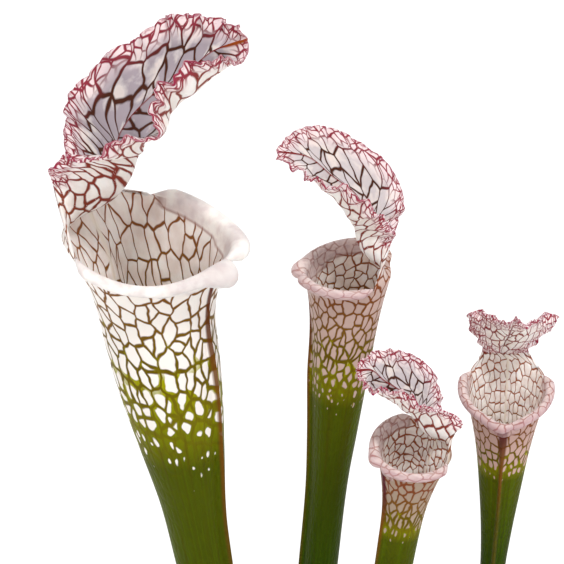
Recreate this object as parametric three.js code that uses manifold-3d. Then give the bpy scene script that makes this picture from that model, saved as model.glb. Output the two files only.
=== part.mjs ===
// Potted pitcher plant: four hollow trumpet leaves on one rhizome, in a round nursery pot.
// Millimetres, +Z up. The origin is under the middle of the pot. The plant is seen from -Y, +X is right.
import * as THREE from 'three';
import { mergeVertices } from 'three/addons/utils/BufferGeometryUtils.js';
import Module from 'manifold-3d';

const wasm = await Module();
wasm.setup();

// ---- Driving dimensions ----

const GAP = 0.3; // air between pieces that touch on the real plant
const POT = { height: 125, baseRadius: 53, topRadius: 70, wall: 2.2, floor: 3, sides: 48 };
const POT_RIM = { height: 14, overhang: 4.5, round: 1.2 };
const DRAIN = { count: 8, radius: 4, circle: 36 };
const SOIL_TOP = 107;
const LEAF_FOOT = 100; // height of every leaf's foot, down in the soil
const BLADE = { large: 0.9, small: 0.75 }; // wall thickness of the leaves

// How fine the leaves' faces are. The back of a leaf is the part of its wall that grows on as the lid.
const BACK_ANGLE = THREE.MathUtils.degToRad(64);
const BACK_COLUMNS = 5; // on each side of the midrib
const FRONT_STEPS = 12;
const TUBE_ROWS = 10;
const LID_ROWS = 34;
const LIP_ROWS = 5;
const SEAM_BLEND = 0.18; // share of the lid's run over which it grows out of the tube's shape
const TUBE_CROWDING = 1.35; // above 1, the tube's rows crowd towards the rim
const FLARE_START = 0.9; // height from which the rim flares
const CREST_START = 0.78; // height from which the ridge on the back stands in
const CREST_WIDTH = 0.45; // in radians
const WING_ANGLE = 0.16; // half-width of the wing that runs up the front of a leaf, in radians
const LIP_ROLL = THREE.MathUtils.degToRad(225);
const LIP_TIGHTENS = 0.45; // share by which the roll's radius shrinks to its end
const LIP_TAPER = 0.3; // angle over which the lip runs out beside the lid, in radians
const LIP_FRONT = { thicker: 0.3, width: 0.5 }; // share added at the front, over an angle in radians
const BRIM = { start: 0.1, blend: 0.5, unrolls: 0.45 }; // radians from the wing, and share of roll lost
const CURL = { turn: 0.12, width: 0.15 }; // angle past the wing, in radians
const NOTCH = { turn: 0.14, width: 0.1 }; // angle before the wing, in radians
const WING_RUN = { foot: 0.2, end: 0.99, fade: 0.12 }; // heights over which the wing grows and ends
const FRILL_START = { place: 0.1, blend: 0.15 }; // where on the lid's run its frill begins
const BULGE_LEAN = 0.8; // below 1, the lid's bulges are deepest near the midrib
const LOOK_AHEAD = { midrib: 0.02, sheet: 0.01, rim: 0.012 }; // steps that directions are measured over

// Each leaf: foot and mouth are the ends of the tube's middle line. bow is how far that line bends, and
// bowLow how much of the bend is in its lower half. facing turns the mouth from the viewer towards +X, in
// degrees. radii are the tube's from foot (0) to rim (1). The rim is lower at the front, and the beak is
// its outermost point, turned from the wing by an angle. The lip is the rolled rim: on one side of the
// beak it can be a broad brim, on the other it curls, and a notch parts the two. The lid's midrib and its
// two edges are points from the rim (0) to the tip (1), measured from the middle of the mouth, and its
// bulges are how far each half is hollowed.
const LEAVES = {
  pitcher_large: {
    foot: [-12, 5, LEAF_FOOT],
    mouth: [-46, -26, 403.5],
    bow: [5.4, 0, 0],
    bowLow: 0.75,
    facing: 62,
    thickness: BLADE.large,
    radii: [[0, 3.6], [0.25, 4.6], [0.45, 6], [0.63, 8.3], [0.7, 9.4], [0.77, 12.4], [0.84, 15.3],
      [0.89, 16.5], [0.95, 17], [1, 18.4]],
    oval: 0.05,
    rim: { frontDrop: 8.5, sideDrop: 0.6, flare: 4.6, backFlare: 5.5 },
    beak: { drop: -3.6, out: 3.6, turn: -0.25, width: 0.6 },
    lip: { size: 1.7, brim: 0.8, curl: 1.2, notch: 0.9 },
    crest: 5,
    wing: 2,
    midrib: [[0.1, -9, 7, 15], [0.3, -6.5, 6, 30.5], [0.5, 2.5, 4, 42.5], [0.7, 13.5, 2, 51],
      [0.85, 21, 0, 58], [1, 30.5, -3, 62.5]],
    leftEdge: [[0.1, -18, 20, 11.5], [0.2, -24.5, 24, 24], [0.3, -21.5, 24, 37.5], [0.4, -10.5, 23, 50],
      [0.5, -0.5, 20, 56.5], [0.6, 6, 17, 63], [0.75, 15.5, 11, 65.5], [0.9, 25, 4, 65.5],
      [1, 28.5, -2, 64.5]],
    rightEdge: [[0.1, -25, -10, 21], [0.18, -25.5, -14, 28], [0.25, -18.5, -18, 31],
      [0.32, -9.5, -21, 36],
      [0.4, -0.5, -23, 39], [0.48, 5.5, -22, 42.5], [0.56, 4, -19, 49.5], [0.66, 8, -17, 54.5],
      [0.8, 19, -13, 60], [0.9, 25.5, -11, 58], [1, 29.5, -8, 57.5]],
    leftBulge: [[0, 0], [0.1, 3], [0.4, 4], [1, 2]],
    rightBulge: [[0, 0], [0.1, 8], [0.25, 11], [0.4, 6], [0.6, 7], [0.8, 6], [1, 2]],
    frill: { height: 1.6, wave: 14, edge: 110 },
  },
  pitcher_medium: {
    foot: [4, 2, LEAF_FOOT],
    mouth: [16.5, 0, 384.5],
    bow: [-6.6, 0, 0],
    bowLow: 0.4,
    facing: -92,
    thickness: BLADE.small,
    radii: [[0, 3], [0.3, 4], [0.5, 4.8], [0.65, 5.2], [0.75, 5.6], [0.81, 6.9], [0.9, 9.5],
      [0.95, 10.5],
      [1, 11.6]],
    oval: 0.04,
    rim: { frontDrop: 2.6, sideDrop: 2, flare: 3, backFlare: 1.4 },
    beak: { drop: 0.8, out: 0.6, turn: 0, width: 0.3 },
    lip: { size: 1.5, brim: 0, curl: 0.3, notch: 0.6 },
    crest: 2.5,
    wing: 1.6,
    midrib: [[0.11, 5, 0, 7.5], [0.28, 4, 0, 16], [0.45, 0, 0, 24], [0.64, -7.5, 0, 30],
      [0.81, -14, 0, 35.5],
      [1, -23, 0, 37.5]],
    leftEdge: [[0.11, 10.5, -9, 11.5], [0.2, 12, -10, 15], [0.3, 8.5, -11, 19.5], [0.42, 4, -12, 25],
      [0.52, -2, -13, 30], [0.62, -8.5, -13, 32], [0.72, -12.5, -12, 32.5], [0.84, -16, -9, 34],
      [1, -23.5, -3, 36.5]],
    rightEdge: [[0.1, 10.5, 11, 4], [0.2, 14, 13, 11], [0.3, 14.5, 14, 21.5], [0.4, 7, 14, 31.5],
      [0.55, -5, 12, 40], [0.7, -13.5, 9, 42.5], [0.85, -20, 6, 40.5], [1, -23.5, 2, 37.5]],
    leftBulge: [[0, 0], [0.1, 5], [0.3, 7], [0.5, 6], [0.7, 2.5], [1, 1]],
    rightBulge: [[0, 0], [0.1, 2], [0.4, 3], [1, 1]],
    frill: { height: 1.1, wave: 10, edge: 75 },
  },
  pitcher_small: {
    foot: [15, -14, LEAF_FOOT],
    mouth: [34.5, -32, 340],
    bow: [-4.6, 0, 0],
    bowLow: 0,
    facing: -62,
    thickness: BLADE.small,
    radii: [[0, 2.8], [0.4, 4.3], [0.7, 5.2], [0.84, 5.5], [0.91, 6.2], [0.955, 7.4], [1, 9.1]],
    oval: 0.04,
    rim: { frontDrop: 3.3, sideDrop: 2, flare: 2.2, backFlare: 1 },
    beak: { drop: 0.3, out: 0.2, turn: 0, width: 0.3 },
    lip: { size: 1.3, brim: 0, curl: 0.2, notch: 0.4 },
    crest: 2,
    wing: 1.3,
    midrib: [[0.1, 2.5, 4, 5.5], [0.25, 1, 4, 11], [0.4, -2.5, 2, 16], [0.55, -6, 0, 19],
      [0.7, -10, -2, 22.5],
      [0.85, -13.5, -4, 26.5], [1, -18, -6, 27.5]],
    leftEdge: [[0.06, 10.5, -3, 4.5], [0.12, 13.5, -4, 9.5], [0.2, 7, -5, 14.5], [0.3, 2, -7, 16],
      [0.4, -1.5, -9, 20],
      [0.5, -4.5, -11, 22.5], [0.6, -9, -12, 24], [0.75, -13.5, -12, 23.5], [0.9, -16.5, -10, 25.5],
      [1, -18, -7, 27]],
    rightEdge: [[0.1, 8, 13, 1.5], [0.2, 8, 14, 8.5], [0.3, 7, 14, 15], [0.42, 2.5, 12, 22.5],
      [0.55, -3.5, 9, 27],
      [0.7, -8.5, 5, 29.5], [0.85, -14.5, 0, 30], [1, -18, -4, 28]],
    leftBulge: [[0, 0], [0.1, 4], [0.3, 5], [0.6, 4], [0.8, 2], [1, 0.3]],
    rightBulge: [[0, 0], [0.1, 1.5], [0.4, 2], [1, 1]],
    frill: { height: 0.8, wave: 7.5, edge: 60 },
  },
  pitcher_front: {
    foot: [36, 4, LEAF_FOOT],
    mouth: [63.5, 0, 345],
    bow: [5.9, 0, 0],
    bowLow: 0,
    facing: -6,
    thickness: BLADE.small,
    radii: [[0, 2.6], [0.46, 2.9], [0.68, 3.1], [0.755, 3.5], [0.81, 4.5], [0.87, 6.1],
      [0.94, 8.2], [1, 10]],
    oval: 0.04,
    rim: { frontDrop: 6, sideDrop: 0, flare: 1.9, backFlare: 1.2 },
    beak: { drop: 1, out: 1.6, turn: 0, width: 0.3 },
    lip: { size: 1.3, brim: 0, curl: 0, notch: 0.4 },
    crest: 2,
    wing: 1.3,
    midrib: [[0.1, -1, 9, 8], [0.3, -0.5, 8, 11.5], [0.55, 0.5, 2, 17], [0.8, 1, -5, 23.5],
      [1, 1.5, -9, 27.5]],
    leftEdge: [[0.1, 7.5, 10, 7], [0.25, 9, 10, 10.5], [0.4, 13.5, 8, 16.5], [0.5, 16, 6, 21],
      [0.62, 12, 3, 23.5],
      [0.75, 8, -2, 23], [0.9, 5, -7, 23.5], [1, 2.5, -9, 26.5]],
    rightEdge: [[0.1, -7, 10, 7.5], [0.25, -8.5, 10, 12], [0.4, -11.5, 8, 18], [0.5, -12, 6, 22],
      [0.62, -8.5, 3, 24.5], [0.75, -5, -2, 24.5], [0.9, -2, -7, 24.5], [1, 0.5, -9, 26]],
    leftBulge: [[0, 0], [0.1, 1.5], [0.4, 2], [1, 0.5]],
    rightBulge: [[0, 0], [0.1, 1.5], [0.4, 2], [1, 0.5]],
    frill: { height: 0.7, wave: 7.5, edge: 50 },
  },
};

// The rhizome lies just under the surface: a main run, and a short branch to the small pitcher.
const RHIZOME_RUN = [[-31, 11, 97], [-22, 8, 98], [-12, 5, 99], [4, 2, 98.5], [20, 2, 99], [36, 4, 99],
  [47, 7, 97]];
const RHIZOME_RADII = [5, 7.6, 8.6, 8.2, 7.4, 7.8, 4.6];
const BRANCH_RUN = [[8, 1, 98], [12, -8, 98.5], [15, -14, 99], [17, -21, 98]];
const BRANCH_RADII = [5.5, 6.4, 7.2, 4.4];
const STUBS = [
  { foot: [-22, 8, 101], tip: [-25, 6, 116], radius: 2.6 },
  { foot: [20, 3, 102], tip: [22, 7, 113], radius: 2.4 },
  { foot: [27, 1, 102], tip: [27, -4, 112], radius: 2.1 },
];

// ---- Curves ----

const ease = (x) => THREE.MathUtils.smoothstep(x, 0, 1);
const bump = (x, width) => Math.exp(-((x / width) ** 2));
const vector = (xyz) => new THREE.Vector3(...xyz);

// A smooth curve through knots [place, value, ...], as the list of values at a place.
function curveAt(knots, place) {
  const last = knots.length - 1;
  const x = THREE.MathUtils.clamp(place, knots[0][0], knots[last][0]);
  let i = 0;
  while (i < last - 1 && x > knots[i + 1][0]) i += 1;
  const slope = (n, k) => (knots[n + 1][k] - knots[n][k]) / (knots[n + 1][0] - knots[n][0]);
  const tangent = (n, k) => {
    if (n === 0) return slope(0, k);
    if (n === last) return slope(last - 1, k);
    return (slope(n - 1, k) + slope(n, k)) / 2;
  };
  const span = knots[i + 1][0] - knots[i][0];
  const t = (x - knots[i][0]) / span;
  return knots[0].slice(1).map((_, c) => {
    const k = c + 1;
    const start = (1 + 2 * t) * (1 - t) ** 2 * knots[i][k] + t * (1 - t) ** 2 * span * tangent(i, k);
    return start + t * t * (3 - 2 * t) * knots[i + 1][k] + t * t * (t - 1) * span * tangent(i + 1, k);
  });
}

const valueAt = (knots, place) => curveAt(knots, place)[0];

// ---- Solids ----

function geometryOf(points, triangles) {
  const geometry = new THREE.BufferGeometry();
  const positions = points.flatMap((p) => [p.x, p.y, p.z]);
  geometry.setAttribute('position', new THREE.Float32BufferAttribute(positions, 3));
  geometry.setIndex(triangles.flat());
  return geometry;
}

function solidOf(source) {
  const bare = source.clone();
  bare.deleteAttribute('normal');
  bare.deleteAttribute('uv');
  const merged = mergeVertices(bare, 1e-4);
  const mesh = new wasm.Mesh({
    numProp: 3,
    vertProperties: new Float32Array(merged.attributes.position.array),
    triVerts: new Uint32Array(merged.index.array),
  });
  return new wasm.Manifold(mesh);
}

function geometryFrom(solid) {
  const mesh = solid.getMesh();
  const geometry = new THREE.BufferGeometry();
  geometry.setAttribute('position', new THREE.Float32BufferAttribute(mesh.vertProperties, 3));
  geometry.setIndex(new THREE.Uint32BufferAttribute(mesh.triVerts, 1));
  return geometry;
}

// Closes a stack of equal rings, each anticlockwise seen from the last ring's side, with two end points.
function closeRings(rings, start, end) {
  const sides = rings[0].length;
  const points = [...rings.flat(), start, end];
  const startIndex = points.length - 2;
  const endIndex = points.length - 1;
  const lastRing = (rings.length - 1) * sides;
  const triangles = [];
  for (let j = 0; j < sides; j += 1) {
    const k = (j + 1) % sides;
    for (let i = 0; i < rings.length - 1; i += 1) {
      const low = i * sides;
      const high = low + sides;
      triangles.push([low + j, low + k, high + k], [low + j, high + k, high + j]);
    }
    triangles.push([startIndex, k, j], [endIndex, lastRing + j, lastRing + k]);
  }
  return geometryOf(points, triangles);
}

// A round root or stem through points, with a radius at each; grow makes it fatter and longer all round.
function stemGeometry(run, radii, sides, steps, grow) {
  const path = new THREE.CatmullRomCurve3(run.map(vector));
  const radiusKnots = radii.map((radius, i) => [i / (radii.length - 1), radius]);
  const rings = [];
  for (let i = 0; i <= steps; i += 1) {
    const t = i / steps;
    const centre = path.getPoint(t);
    const ahead = path.getTangent(t);
    const across = new THREE.Vector3(0.21, 0.13, 1).cross(ahead).normalize();
    if (Math.abs(ahead.z) > 0.8) across.set(1, 0, 0).addScaledVector(ahead, -ahead.x).normalize();
    const upward = ahead.clone().cross(across);
    const knob = 1 + 0.07 * Math.sin(19 * t + 1) + 0.05 * Math.sin(41 * t);
    rings.push(Array.from({ length: sides }, (_, j) => {
      const angle = (2 * Math.PI * j) / sides;
      const radius = valueAt(radiusKnots, t) * knob + grow;
      return centre.clone()
        .addScaledVector(across, radius * Math.cos(angle))
        .addScaledVector(upward, radius * Math.sin(angle));
    }));
  }
  const nose = (t, sign) => {
    const reach = valueAt(radiusKnots, t) * 0.45 + grow;
    return path.getPoint(t).addScaledVector(path.getTangent(t), sign * reach);
  };
  return closeRings(rings, nose(0, -1), nose(1, 1));
}

// ---- Pitcher leaves ----

// The middle surface of one leaf: where its tube, lip and lid run.
function leafSurface(leaf) {
  const foot = vector(leaf.foot);
  const mouth = vector(leaf.mouth);
  const rise = mouth.clone().sub(foot);
  const bow = vector(leaf.bow);
  const turn = THREE.MathUtils.degToRad(leaf.facing);
  const facing = new THREE.Vector3(Math.sin(turn), -Math.cos(turn), 0);
  const { rim, beak, lip, bowLow } = leaf;

  // The middle line at t, from foot (0) to mouth (1), and the directions along and across the tube.
  function frameAt(t) {
    const above = 1 - 2 * t;
    const bend = 4 * t * (1 - t) * (1 + bowLow * above);
    const swing = 4 * (above * (1 + bowLow * above) - 2 * bowLow * t * (1 - t));
    const up = rise.clone().addScaledVector(bow, swing).normalize();
    const front = facing.clone().addScaledVector(up, -up.dot(facing)).normalize();
    const left = up.clone().cross(front);
    const centre = foot.clone().addScaledVector(rise, t).addScaledVector(bow, bend);
    return { centre, up, front, left };
  }

  // A point of the tube: height is 0 at the foot and 1 at the rim, angle is 0 at the back.
  function tubePoint(height, angle) {
    const fromBack = angle > Math.PI ? angle - 2 * Math.PI : angle;
    const off = Math.abs(fromBack);
    const flared = ease((off - 0.25 * BACK_ANGLE) / (0.8 * BACK_ANGLE));
    const beakGap = Math.abs(((angle - beak.turn + 2 * Math.PI) % (2 * Math.PI)) - Math.PI);
    const out = beak.out * bump(beakGap, beak.width);
    const tilt = rim.frontDrop * Math.cos(angle) - rim.sideDrop * Math.sin(angle);
    const drop = tilt - beak.drop * bump(Math.PI - off, beak.width + 0.1);
    const frame = frameAt(height * (1 + drop / rise.length()));
    const nearRim = THREE.MathUtils.clamp((height - FLARE_START) / (1 - FLARE_START), 0, 1) ** 2;
    const flare = nearRim * (rim.flare * flared + out + rim.backFlare * (1 - flared));
    const highUp = ease((height - CREST_START) / (1 - CREST_START));
    const crest = leaf.crest * bump(fromBack, CREST_WIDTH) * highUp;
    const radius = valueAt(leaf.radii, height) + flare - crest;
    const oval = leaf.oval * ease(height * 1.3);
    return frame.centre
      .addScaledVector(frame.front, -Math.cos(angle) * radius * (1 - oval))
      .addScaledVector(frame.left, Math.sin(angle) * radius * (1 + oval));
  }

  // The lip: the rim rolled outwards, running out beside the lid. Its angles go round from the lid's left
  // edge to its right one, with the wing at PI.
  function lipPoints(angle) {
    const off = Math.min(angle, 2 * Math.PI - angle);
    const start = tubePoint(1, angle);
    const upward = start.clone().sub(tubePoint(1 - LOOK_AHEAD.rim, angle)).normalize();
    const frame = frameAt(1);
    const outward = frame.front.multiplyScalar(-Math.cos(angle));
    outward.addScaledVector(frame.left, Math.sin(angle));
    outward.addScaledVector(upward, -outward.dot(upward)).normalize();
    const broad = lip.brim * ease((Math.PI - BRIM.start - angle) / BRIM.blend);
    const curl = lip.curl * bump(angle - Math.PI - CURL.turn, CURL.width);
    const notch = lip.notch * bump(angle - Math.PI + NOTCH.turn, NOTCH.width);
    const atFront = 1 + LIP_FRONT.thicker * bump(Math.PI - off, LIP_FRONT.width);
    const size = lip.size * ease((off - BACK_ANGLE) / LIP_TAPER) * atFront * (1 + broad + curl - notch);
    const roll = LIP_ROLL * (1 - BRIM.unrolls * broad);
    const points = [];
    const place = start.clone();
    for (let i = 0; i < LIP_ROWS; i += 1) {
      const share = (i + 0.5) / LIP_ROWS;
      const rolled = share * roll;
      const step = (roll / LIP_ROWS) * size * (1 - LIP_TIGHTENS * share);
      place.addScaledVector(upward, step * Math.cos(rolled));
      place.addScaledVector(outward, step * Math.sin(rolled));
      points.push(place.clone());
    }
    return points;
  }

  // The lid: spanned between the midrib and the two edges, waved towards the edges.
  const atMouth = ([place, ...offset]) => [place, ...vector(offset).add(mouth).toArray()];
  const midrib = [[0, ...tubePoint(1, 0).toArray()], ...leaf.midrib.map(atMouth)];
  const leftEdge = [[0, ...tubePoint(1, BACK_ANGLE).toArray()], ...leaf.leftEdge.map(atMouth)];
  const rightEdge = [[0, ...tubePoint(1, -BACK_ANGLE).toArray()], ...leaf.rightEdge.map(atMouth)];

  function sheetPoint(place, side) {
    const middle = vector(curveAt(midrib, place));
    const left = vector(curveAt(leftEdge, place));
    const right = vector(curveAt(rightEdge, place));
    const ahead = vector(curveAt(midrib, Math.min(place + LOOK_AHEAD.midrib, 1)));
    ahead.sub(vector(curveAt(midrib, Math.max(place - LOOK_AHEAD.midrib, 0))));
    const inward = left.clone().sub(right).cross(ahead).normalize();
    const share = Math.abs(side);
    const bulge = valueAt(side > 0 ? leaf.leftBulge : leaf.rightBulge, place);
    const arch = share ** BULGE_LEAN;
    const point = middle.clone().lerp(side > 0 ? left : right, share);
    return point.addScaledVector(inward, bulge * 4 * arch * (1 - arch));
  }

  function lidPoint(place, side) {
    const step = LOOK_AHEAD.sheet;
    const point = sheetPoint(place, side);
    const along = sheetPoint(Math.min(place + step, 1), side);
    along.sub(sheetPoint(Math.max(place - step, 0), side));
    const across = sheetPoint(place, Math.min(side + step, 1));
    across.sub(sheetPoint(place, Math.max(side - step, -1)));
    const normal = along.cross(across).normalize();
    const turns = (place * leaf.frill.edge) / leaf.frill.wave;
    const phase = side > 0 ? 0.4 : 2.1;
    const wave = Math.sin(2 * Math.PI * turns + phase + 0.9 * Math.sin(1.7 * turns + 2 * phase));
    const risen = ease((place - FRILL_START.place) / FRILL_START.blend);
    point.addScaledVector(normal, leaf.frill.height * Math.abs(side) ** 2.5 * risen * wave);
    const seam = tubePoint(1, side * BACK_ANGLE).sub(sheetPoint(0, side));
    return point.addScaledVector(seam, 1 - ease(place / SEAM_BLEND));
  }

  return { frameAt, tubePoint, lipPoints, lidPoint };
}

const rowHeight = (row) => 1 - (1 - row / TUBE_ROWS) ** TUBE_CROWDING;

// Column angles round the tube, from one edge of the back round the front to the other.
function columnAngles() {
  const backStep = BACK_ANGLE / BACK_COLUMNS;
  const back = Array.from({ length: 2 * BACK_COLUMNS + 1 }, (_, i) => backStep * (i - BACK_COLUMNS));
  const frontStep = (2 * (Math.PI - BACK_ANGLE)) / FRONT_STEPS;
  const round = Array.from({ length: FRONT_STEPS - 1 }, (_, i) => BACK_ANGLE + frontStep * (i + 1));
  const besideWing = round.filter((angle) => Math.abs(angle - Math.PI) > WING_ANGLE);
  const wing = [Math.PI - WING_ANGLE, Math.PI, Math.PI + WING_ANGLE];
  return [...back, ...[...besideWing, ...wing].sort((a, b) => a - b)];
}

function leafGeometry(leaf) {
  const surface = leafSurface(leaf);
  const angles = columnAngles();
  const columns = angles.length;
  const lidColumns = 2 * BACK_COLUMNS + 1;
  const points = [];
  const wings = [];
  const quads = [];
  const add = (point, wing = 0) => {
    points.push(point);
    wings.push(wing);
    return points.length - 1;
  };
  const join = (lower, upper, row) => {
    for (let i = 0; i < lower.length - 1; i += 1) {
      quads.push({ corners: [lower[i], upper[i], upper[i + 1], lower[i + 1]], row });
    }
  };

  const tube = [];
  for (let row = 0; row <= TUBE_ROWS; row += 1) {
    const height = rowHeight(row);
    const fading = ease((WING_RUN.end - height) / WING_RUN.fade);
    const wing = leaf.wing * ease(height / WING_RUN.foot) * fading;
    const wingAt = (angle) => (angle === Math.PI ? wing : 0);
    const ring = angles.map((angle) => add(surface.tubePoint(height, angle), wingAt(angle)));
    tube.push([...ring, ring[0]]);
    if (row > 0) join(tube[row - 1], tube[row], row);
  }
  const rim = tube[TUBE_ROWS];

  const lipAngles = angles.slice(lidColumns);
  const rolls = lipAngles.map((angle) => surface.lipPoints(angle));
  let lower = rim.slice(lidColumns - 1);
  for (let row = 0; row < LIP_ROWS; row += 1) {
    const ring = [lower[0], ...rolls.map((roll) => add(roll[row])), lower[lower.length - 1]];
    join(lower, ring, TUBE_ROWS);
    lower = ring;
  }

  lower = rim.slice(0, lidColumns);
  for (let row = 1; row <= LID_ROWS; row += 1) {
    const place = row / LID_ROWS;
    const back = angles.slice(0, lidColumns);
    const strip = back.map((angle) => add(surface.lidPoint(place, angle / BACK_ANGLE)));
    join(lower, strip, TUBE_ROWS);
    lower = strip;
  }
  return thicken(points, wings, quads, leaf.thickness, columns, surface, tube);
}

// Gives the surface its thickness. The lowest row stays solid, so the leaf stalk has no hollow.
function thicken(points, wings, quads, thickness, columns, surface, tube) {
  const split = quads.flatMap(({ corners: [a, b, c, d], row }) => {
    const halves = [[a, b, c], [a, c, d]].filter(([p, q, r]) => p !== q && q !== r && r !== p);
    return halves.map((corners) => ({ corners, row }));
  });
  const normals = points.map(() => new THREE.Vector3());
  split.forEach(({ corners: [a, b, c] }) => {
    const normal = points[b].clone().sub(points[a]).cross(points[c].clone().sub(points[a]));
    [a, b, c].forEach((corner) => normals[corner].add(normal));
  });
  normals.forEach((normal) => normal.normalize());
  const count = points.length;
  const outer = points.map((p, i) => p.clone().addScaledVector(normals[i], thickness / 2 + wings[i]));
  const inner = points.map((p, i) => p.clone().addScaledVector(normals[i], -thickness / 2));
  const footCentre = surface.frameAt(0).centre;
  const floorCentre = surface.frameAt(rowHeight(1)).centre;
  const all = [...outer, ...inner, footCentre, floorCentre];
  const triangles = split.map(({ corners }) => corners);
  const edges = new Map();
  split.forEach(({ corners: [a, b, c], row }) => {
    if (row > 1) triangles.push([count + c, count + b, count + a]);
    [[a, b], [b, c], [c, a]].forEach(([from, to]) => edges.set(`${from},${to}`, [from, to]));
  });
  edges.forEach(([from, to]) => {
    const atFoot = from < columns && to < columns;
    if (edges.has(`${to},${from}`) || atFoot) return;
    triangles.push([from, count + to, to], [from, count + from, count + to]);
  });
  for (let i = 0; i < columns; i += 1) {
    triangles.push([2 * count, tube[0][i], tube[0][i + 1]]);
    triangles.push([2 * count + 1, count + tube[1][i + 1], count + tube[1][i]]);
  }
  const geometry = geometryOf(all, triangles);
  return mergeVertices(geometry, 1e-6);
}

// A plain hole round a leaf's foot, GAP wider than the leaf and GAP deeper.
function socketSolid(leaf) {
  const surface = leafSurface(leaf);
  const sides = 16;
  const heights = [0, 0.03, 0.06, 0.09];
  const rings = heights.map((height) => {
    const frame = surface.frameAt(height);
    const radius = valueAt(leaf.radii, height) + leaf.thickness / 2 + GAP;
    const drop = height === 0 ? -GAP : 0;
    return Array.from({ length: sides }, (_, j) => {
      const angle = (2 * Math.PI * j) / sides;
      return frame.centre.clone()
        .addScaledVector(frame.up, drop)
        .addScaledVector(frame.front, (radius / Math.cos(Math.PI / sides)) * Math.cos(angle))
        .addScaledVector(frame.left, (radius / Math.cos(Math.PI / sides)) * Math.sin(angle));
    });
  });
  const bottom = surface.frameAt(0).centre.addScaledVector(surface.frameAt(0).up, -GAP);
  return solidOf(closeRings(rings, bottom, surface.frameAt(heights[heights.length - 1]).centre));
}

// ---- Pot ----

const potSlope = (POT.topRadius - POT.baseRadius) / POT.height;
const potInnerRadius = (z) => POT.baseRadius - POT.wall + potSlope * z;

function potGeometry() {
  const { height, baseRadius, topRadius, wall, floor } = POT;
  const rimFoot = height - POT_RIM.height;
  const rimRadius = topRadius + POT_RIM.overhang;
  const { round } = POT_RIM;
  const outline = [
    [0, 0], [baseRadius - round, 0], [baseRadius, round],
    [potInnerRadius(rimFoot) + wall, rimFoot],
    [rimRadius - round, rimFoot], [rimRadius, rimFoot + round],
    [rimRadius + 0.5, height - 2 * round], [rimRadius - 0.4, height - 0.4],
    [rimRadius - 2 * round, height],
    [topRadius - 0.6, height - 0.2], [topRadius - wall, height - 2 * round],
    [potInnerRadius(floor + 4), floor + 4], [potInnerRadius(floor) - 3, floor], [0, floor],
  ].map(([x, y]) => new THREE.Vector2(x, y));
  const pot = new THREE.LatheGeometry(outline, POT.sides);
  pot.rotateX(Math.PI / 2);
  let solid = solidOf(pot);
  for (let i = 0; i < DRAIN.count; i += 1) {
    const hole = new THREE.CylinderGeometry(DRAIN.radius, DRAIN.radius, 3 * floor, 16);
    hole.rotateX(Math.PI / 2);
    const angle = (2 * Math.PI * (i + 0.5)) / DRAIN.count;
    hole.translate(DRAIN.circle * Math.cos(angle), DRAIN.circle * Math.sin(angle), floor / 2);
    solid = solid.subtract(solidOf(hole));
  }
  return geometryFrom(solid);
}

// ---- Soil and rhizome ----

function soilHeight(x, y) {
  const broad = Math.sin(x / 9 + 0.4) * Math.cos(y / 11);
  const waves = broad + 0.6 * Math.sin(x / 4.3 + y / 6.1) + 0.5 * Math.cos(y / 5 - x / 7);
  const edge = Math.hypot(x, y) / potInnerRadius(SOIL_TOP);
  return SOIL_TOP + 0.7 * waves - 2.5 * edge ** 6;
}

function soilSolid() {
  const sectors = 32;
  const ring = (radius, heightAt) => Array.from({ length: sectors }, (_, i) => {
    const angle = (2 * Math.PI * i) / sectors;
    const x = radius * Math.cos(angle);
    const y = radius * Math.sin(angle);
    return new THREE.Vector3(x, y, heightAt(x, y));
  });
  const fit = (z) => (potInnerRadius(z) - GAP) * Math.cos(Math.PI / POT.sides) - 0.1;
  const bottom = POT.floor + GAP;
  const shoulder = POT.floor + 4;
  const edge = fit(SOIL_TOP - 4);
  const rings = [
    ring(fit(bottom) - 3.4, () => bottom),
    ring(fit(shoulder), () => shoulder),
    ring(edge, soilHeight),
    ...[0.86, 0.7, 0.54, 0.38, 0.2].map((share) => ring(edge * share, soilHeight)),
  ];
  const low = new THREE.Vector3(0, 0, bottom);
  const high = new THREE.Vector3(0, 0, soilHeight(0, 0));
  return solidOf(closeRings(rings, low, high));
}

function rhizomeSolid(grow) {
  const run = solidOf(stemGeometry(RHIZOME_RUN, RHIZOME_RADII, 10, 14, grow));
  const branch = solidOf(stemGeometry(BRANCH_RUN, BRANCH_RADII, 9, 6, grow));
  return STUBS.reduce((body, { foot, tip, radius }) => {
    const middle = foot.map((value, i) => (value + tip[i]) / 2);
    const stub = stemGeometry([foot, middle, tip], [radius * 1.25, radius, radius * 0.8], 8, 3, grow);
    return body.add(solidOf(stub));
  }, run.add(branch));
}

// ---- The assembly ----

const sockets = Object.values(LEAVES).map(socketSolid);
const cutSockets = (solid) => sockets.reduce((body, socket) => body.subtract(socket), solid);

const LOOKS = {
  pot: { color: 0x24262a, roughness: 0.5 },
  soil: { color: 0x4a3526, roughness: 0.95 },
  rhizome: { color: 0x5c3b28, roughness: 0.85 },
  leaf: { color: 0xe9dfdc, roughness: 0.5 },
};

const soil = cutSockets(soilSolid().subtract(rhizomeSolid(GAP)));
const parts = [
  ['pot', potGeometry(), LOOKS.pot],
  ['potting_mix', geometryFrom(soil), LOOKS.soil],
  ['rhizome', geometryFrom(cutSockets(rhizomeSolid(0))), LOOKS.rhizome],
  ...Object.entries(LEAVES).map(([name, leaf]) => [name, leafGeometry(leaf), LOOKS.leaf]),
];

const plant = new THREE.Group();
parts.forEach(([name, geometry, look]) => {
  const mesh = new THREE.Mesh(geometry, new THREE.MeshStandardMaterial({ ...look, metalness: 0 }));
  mesh.name = name;
  plant.add(mesh);
});

export default plant;
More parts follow.
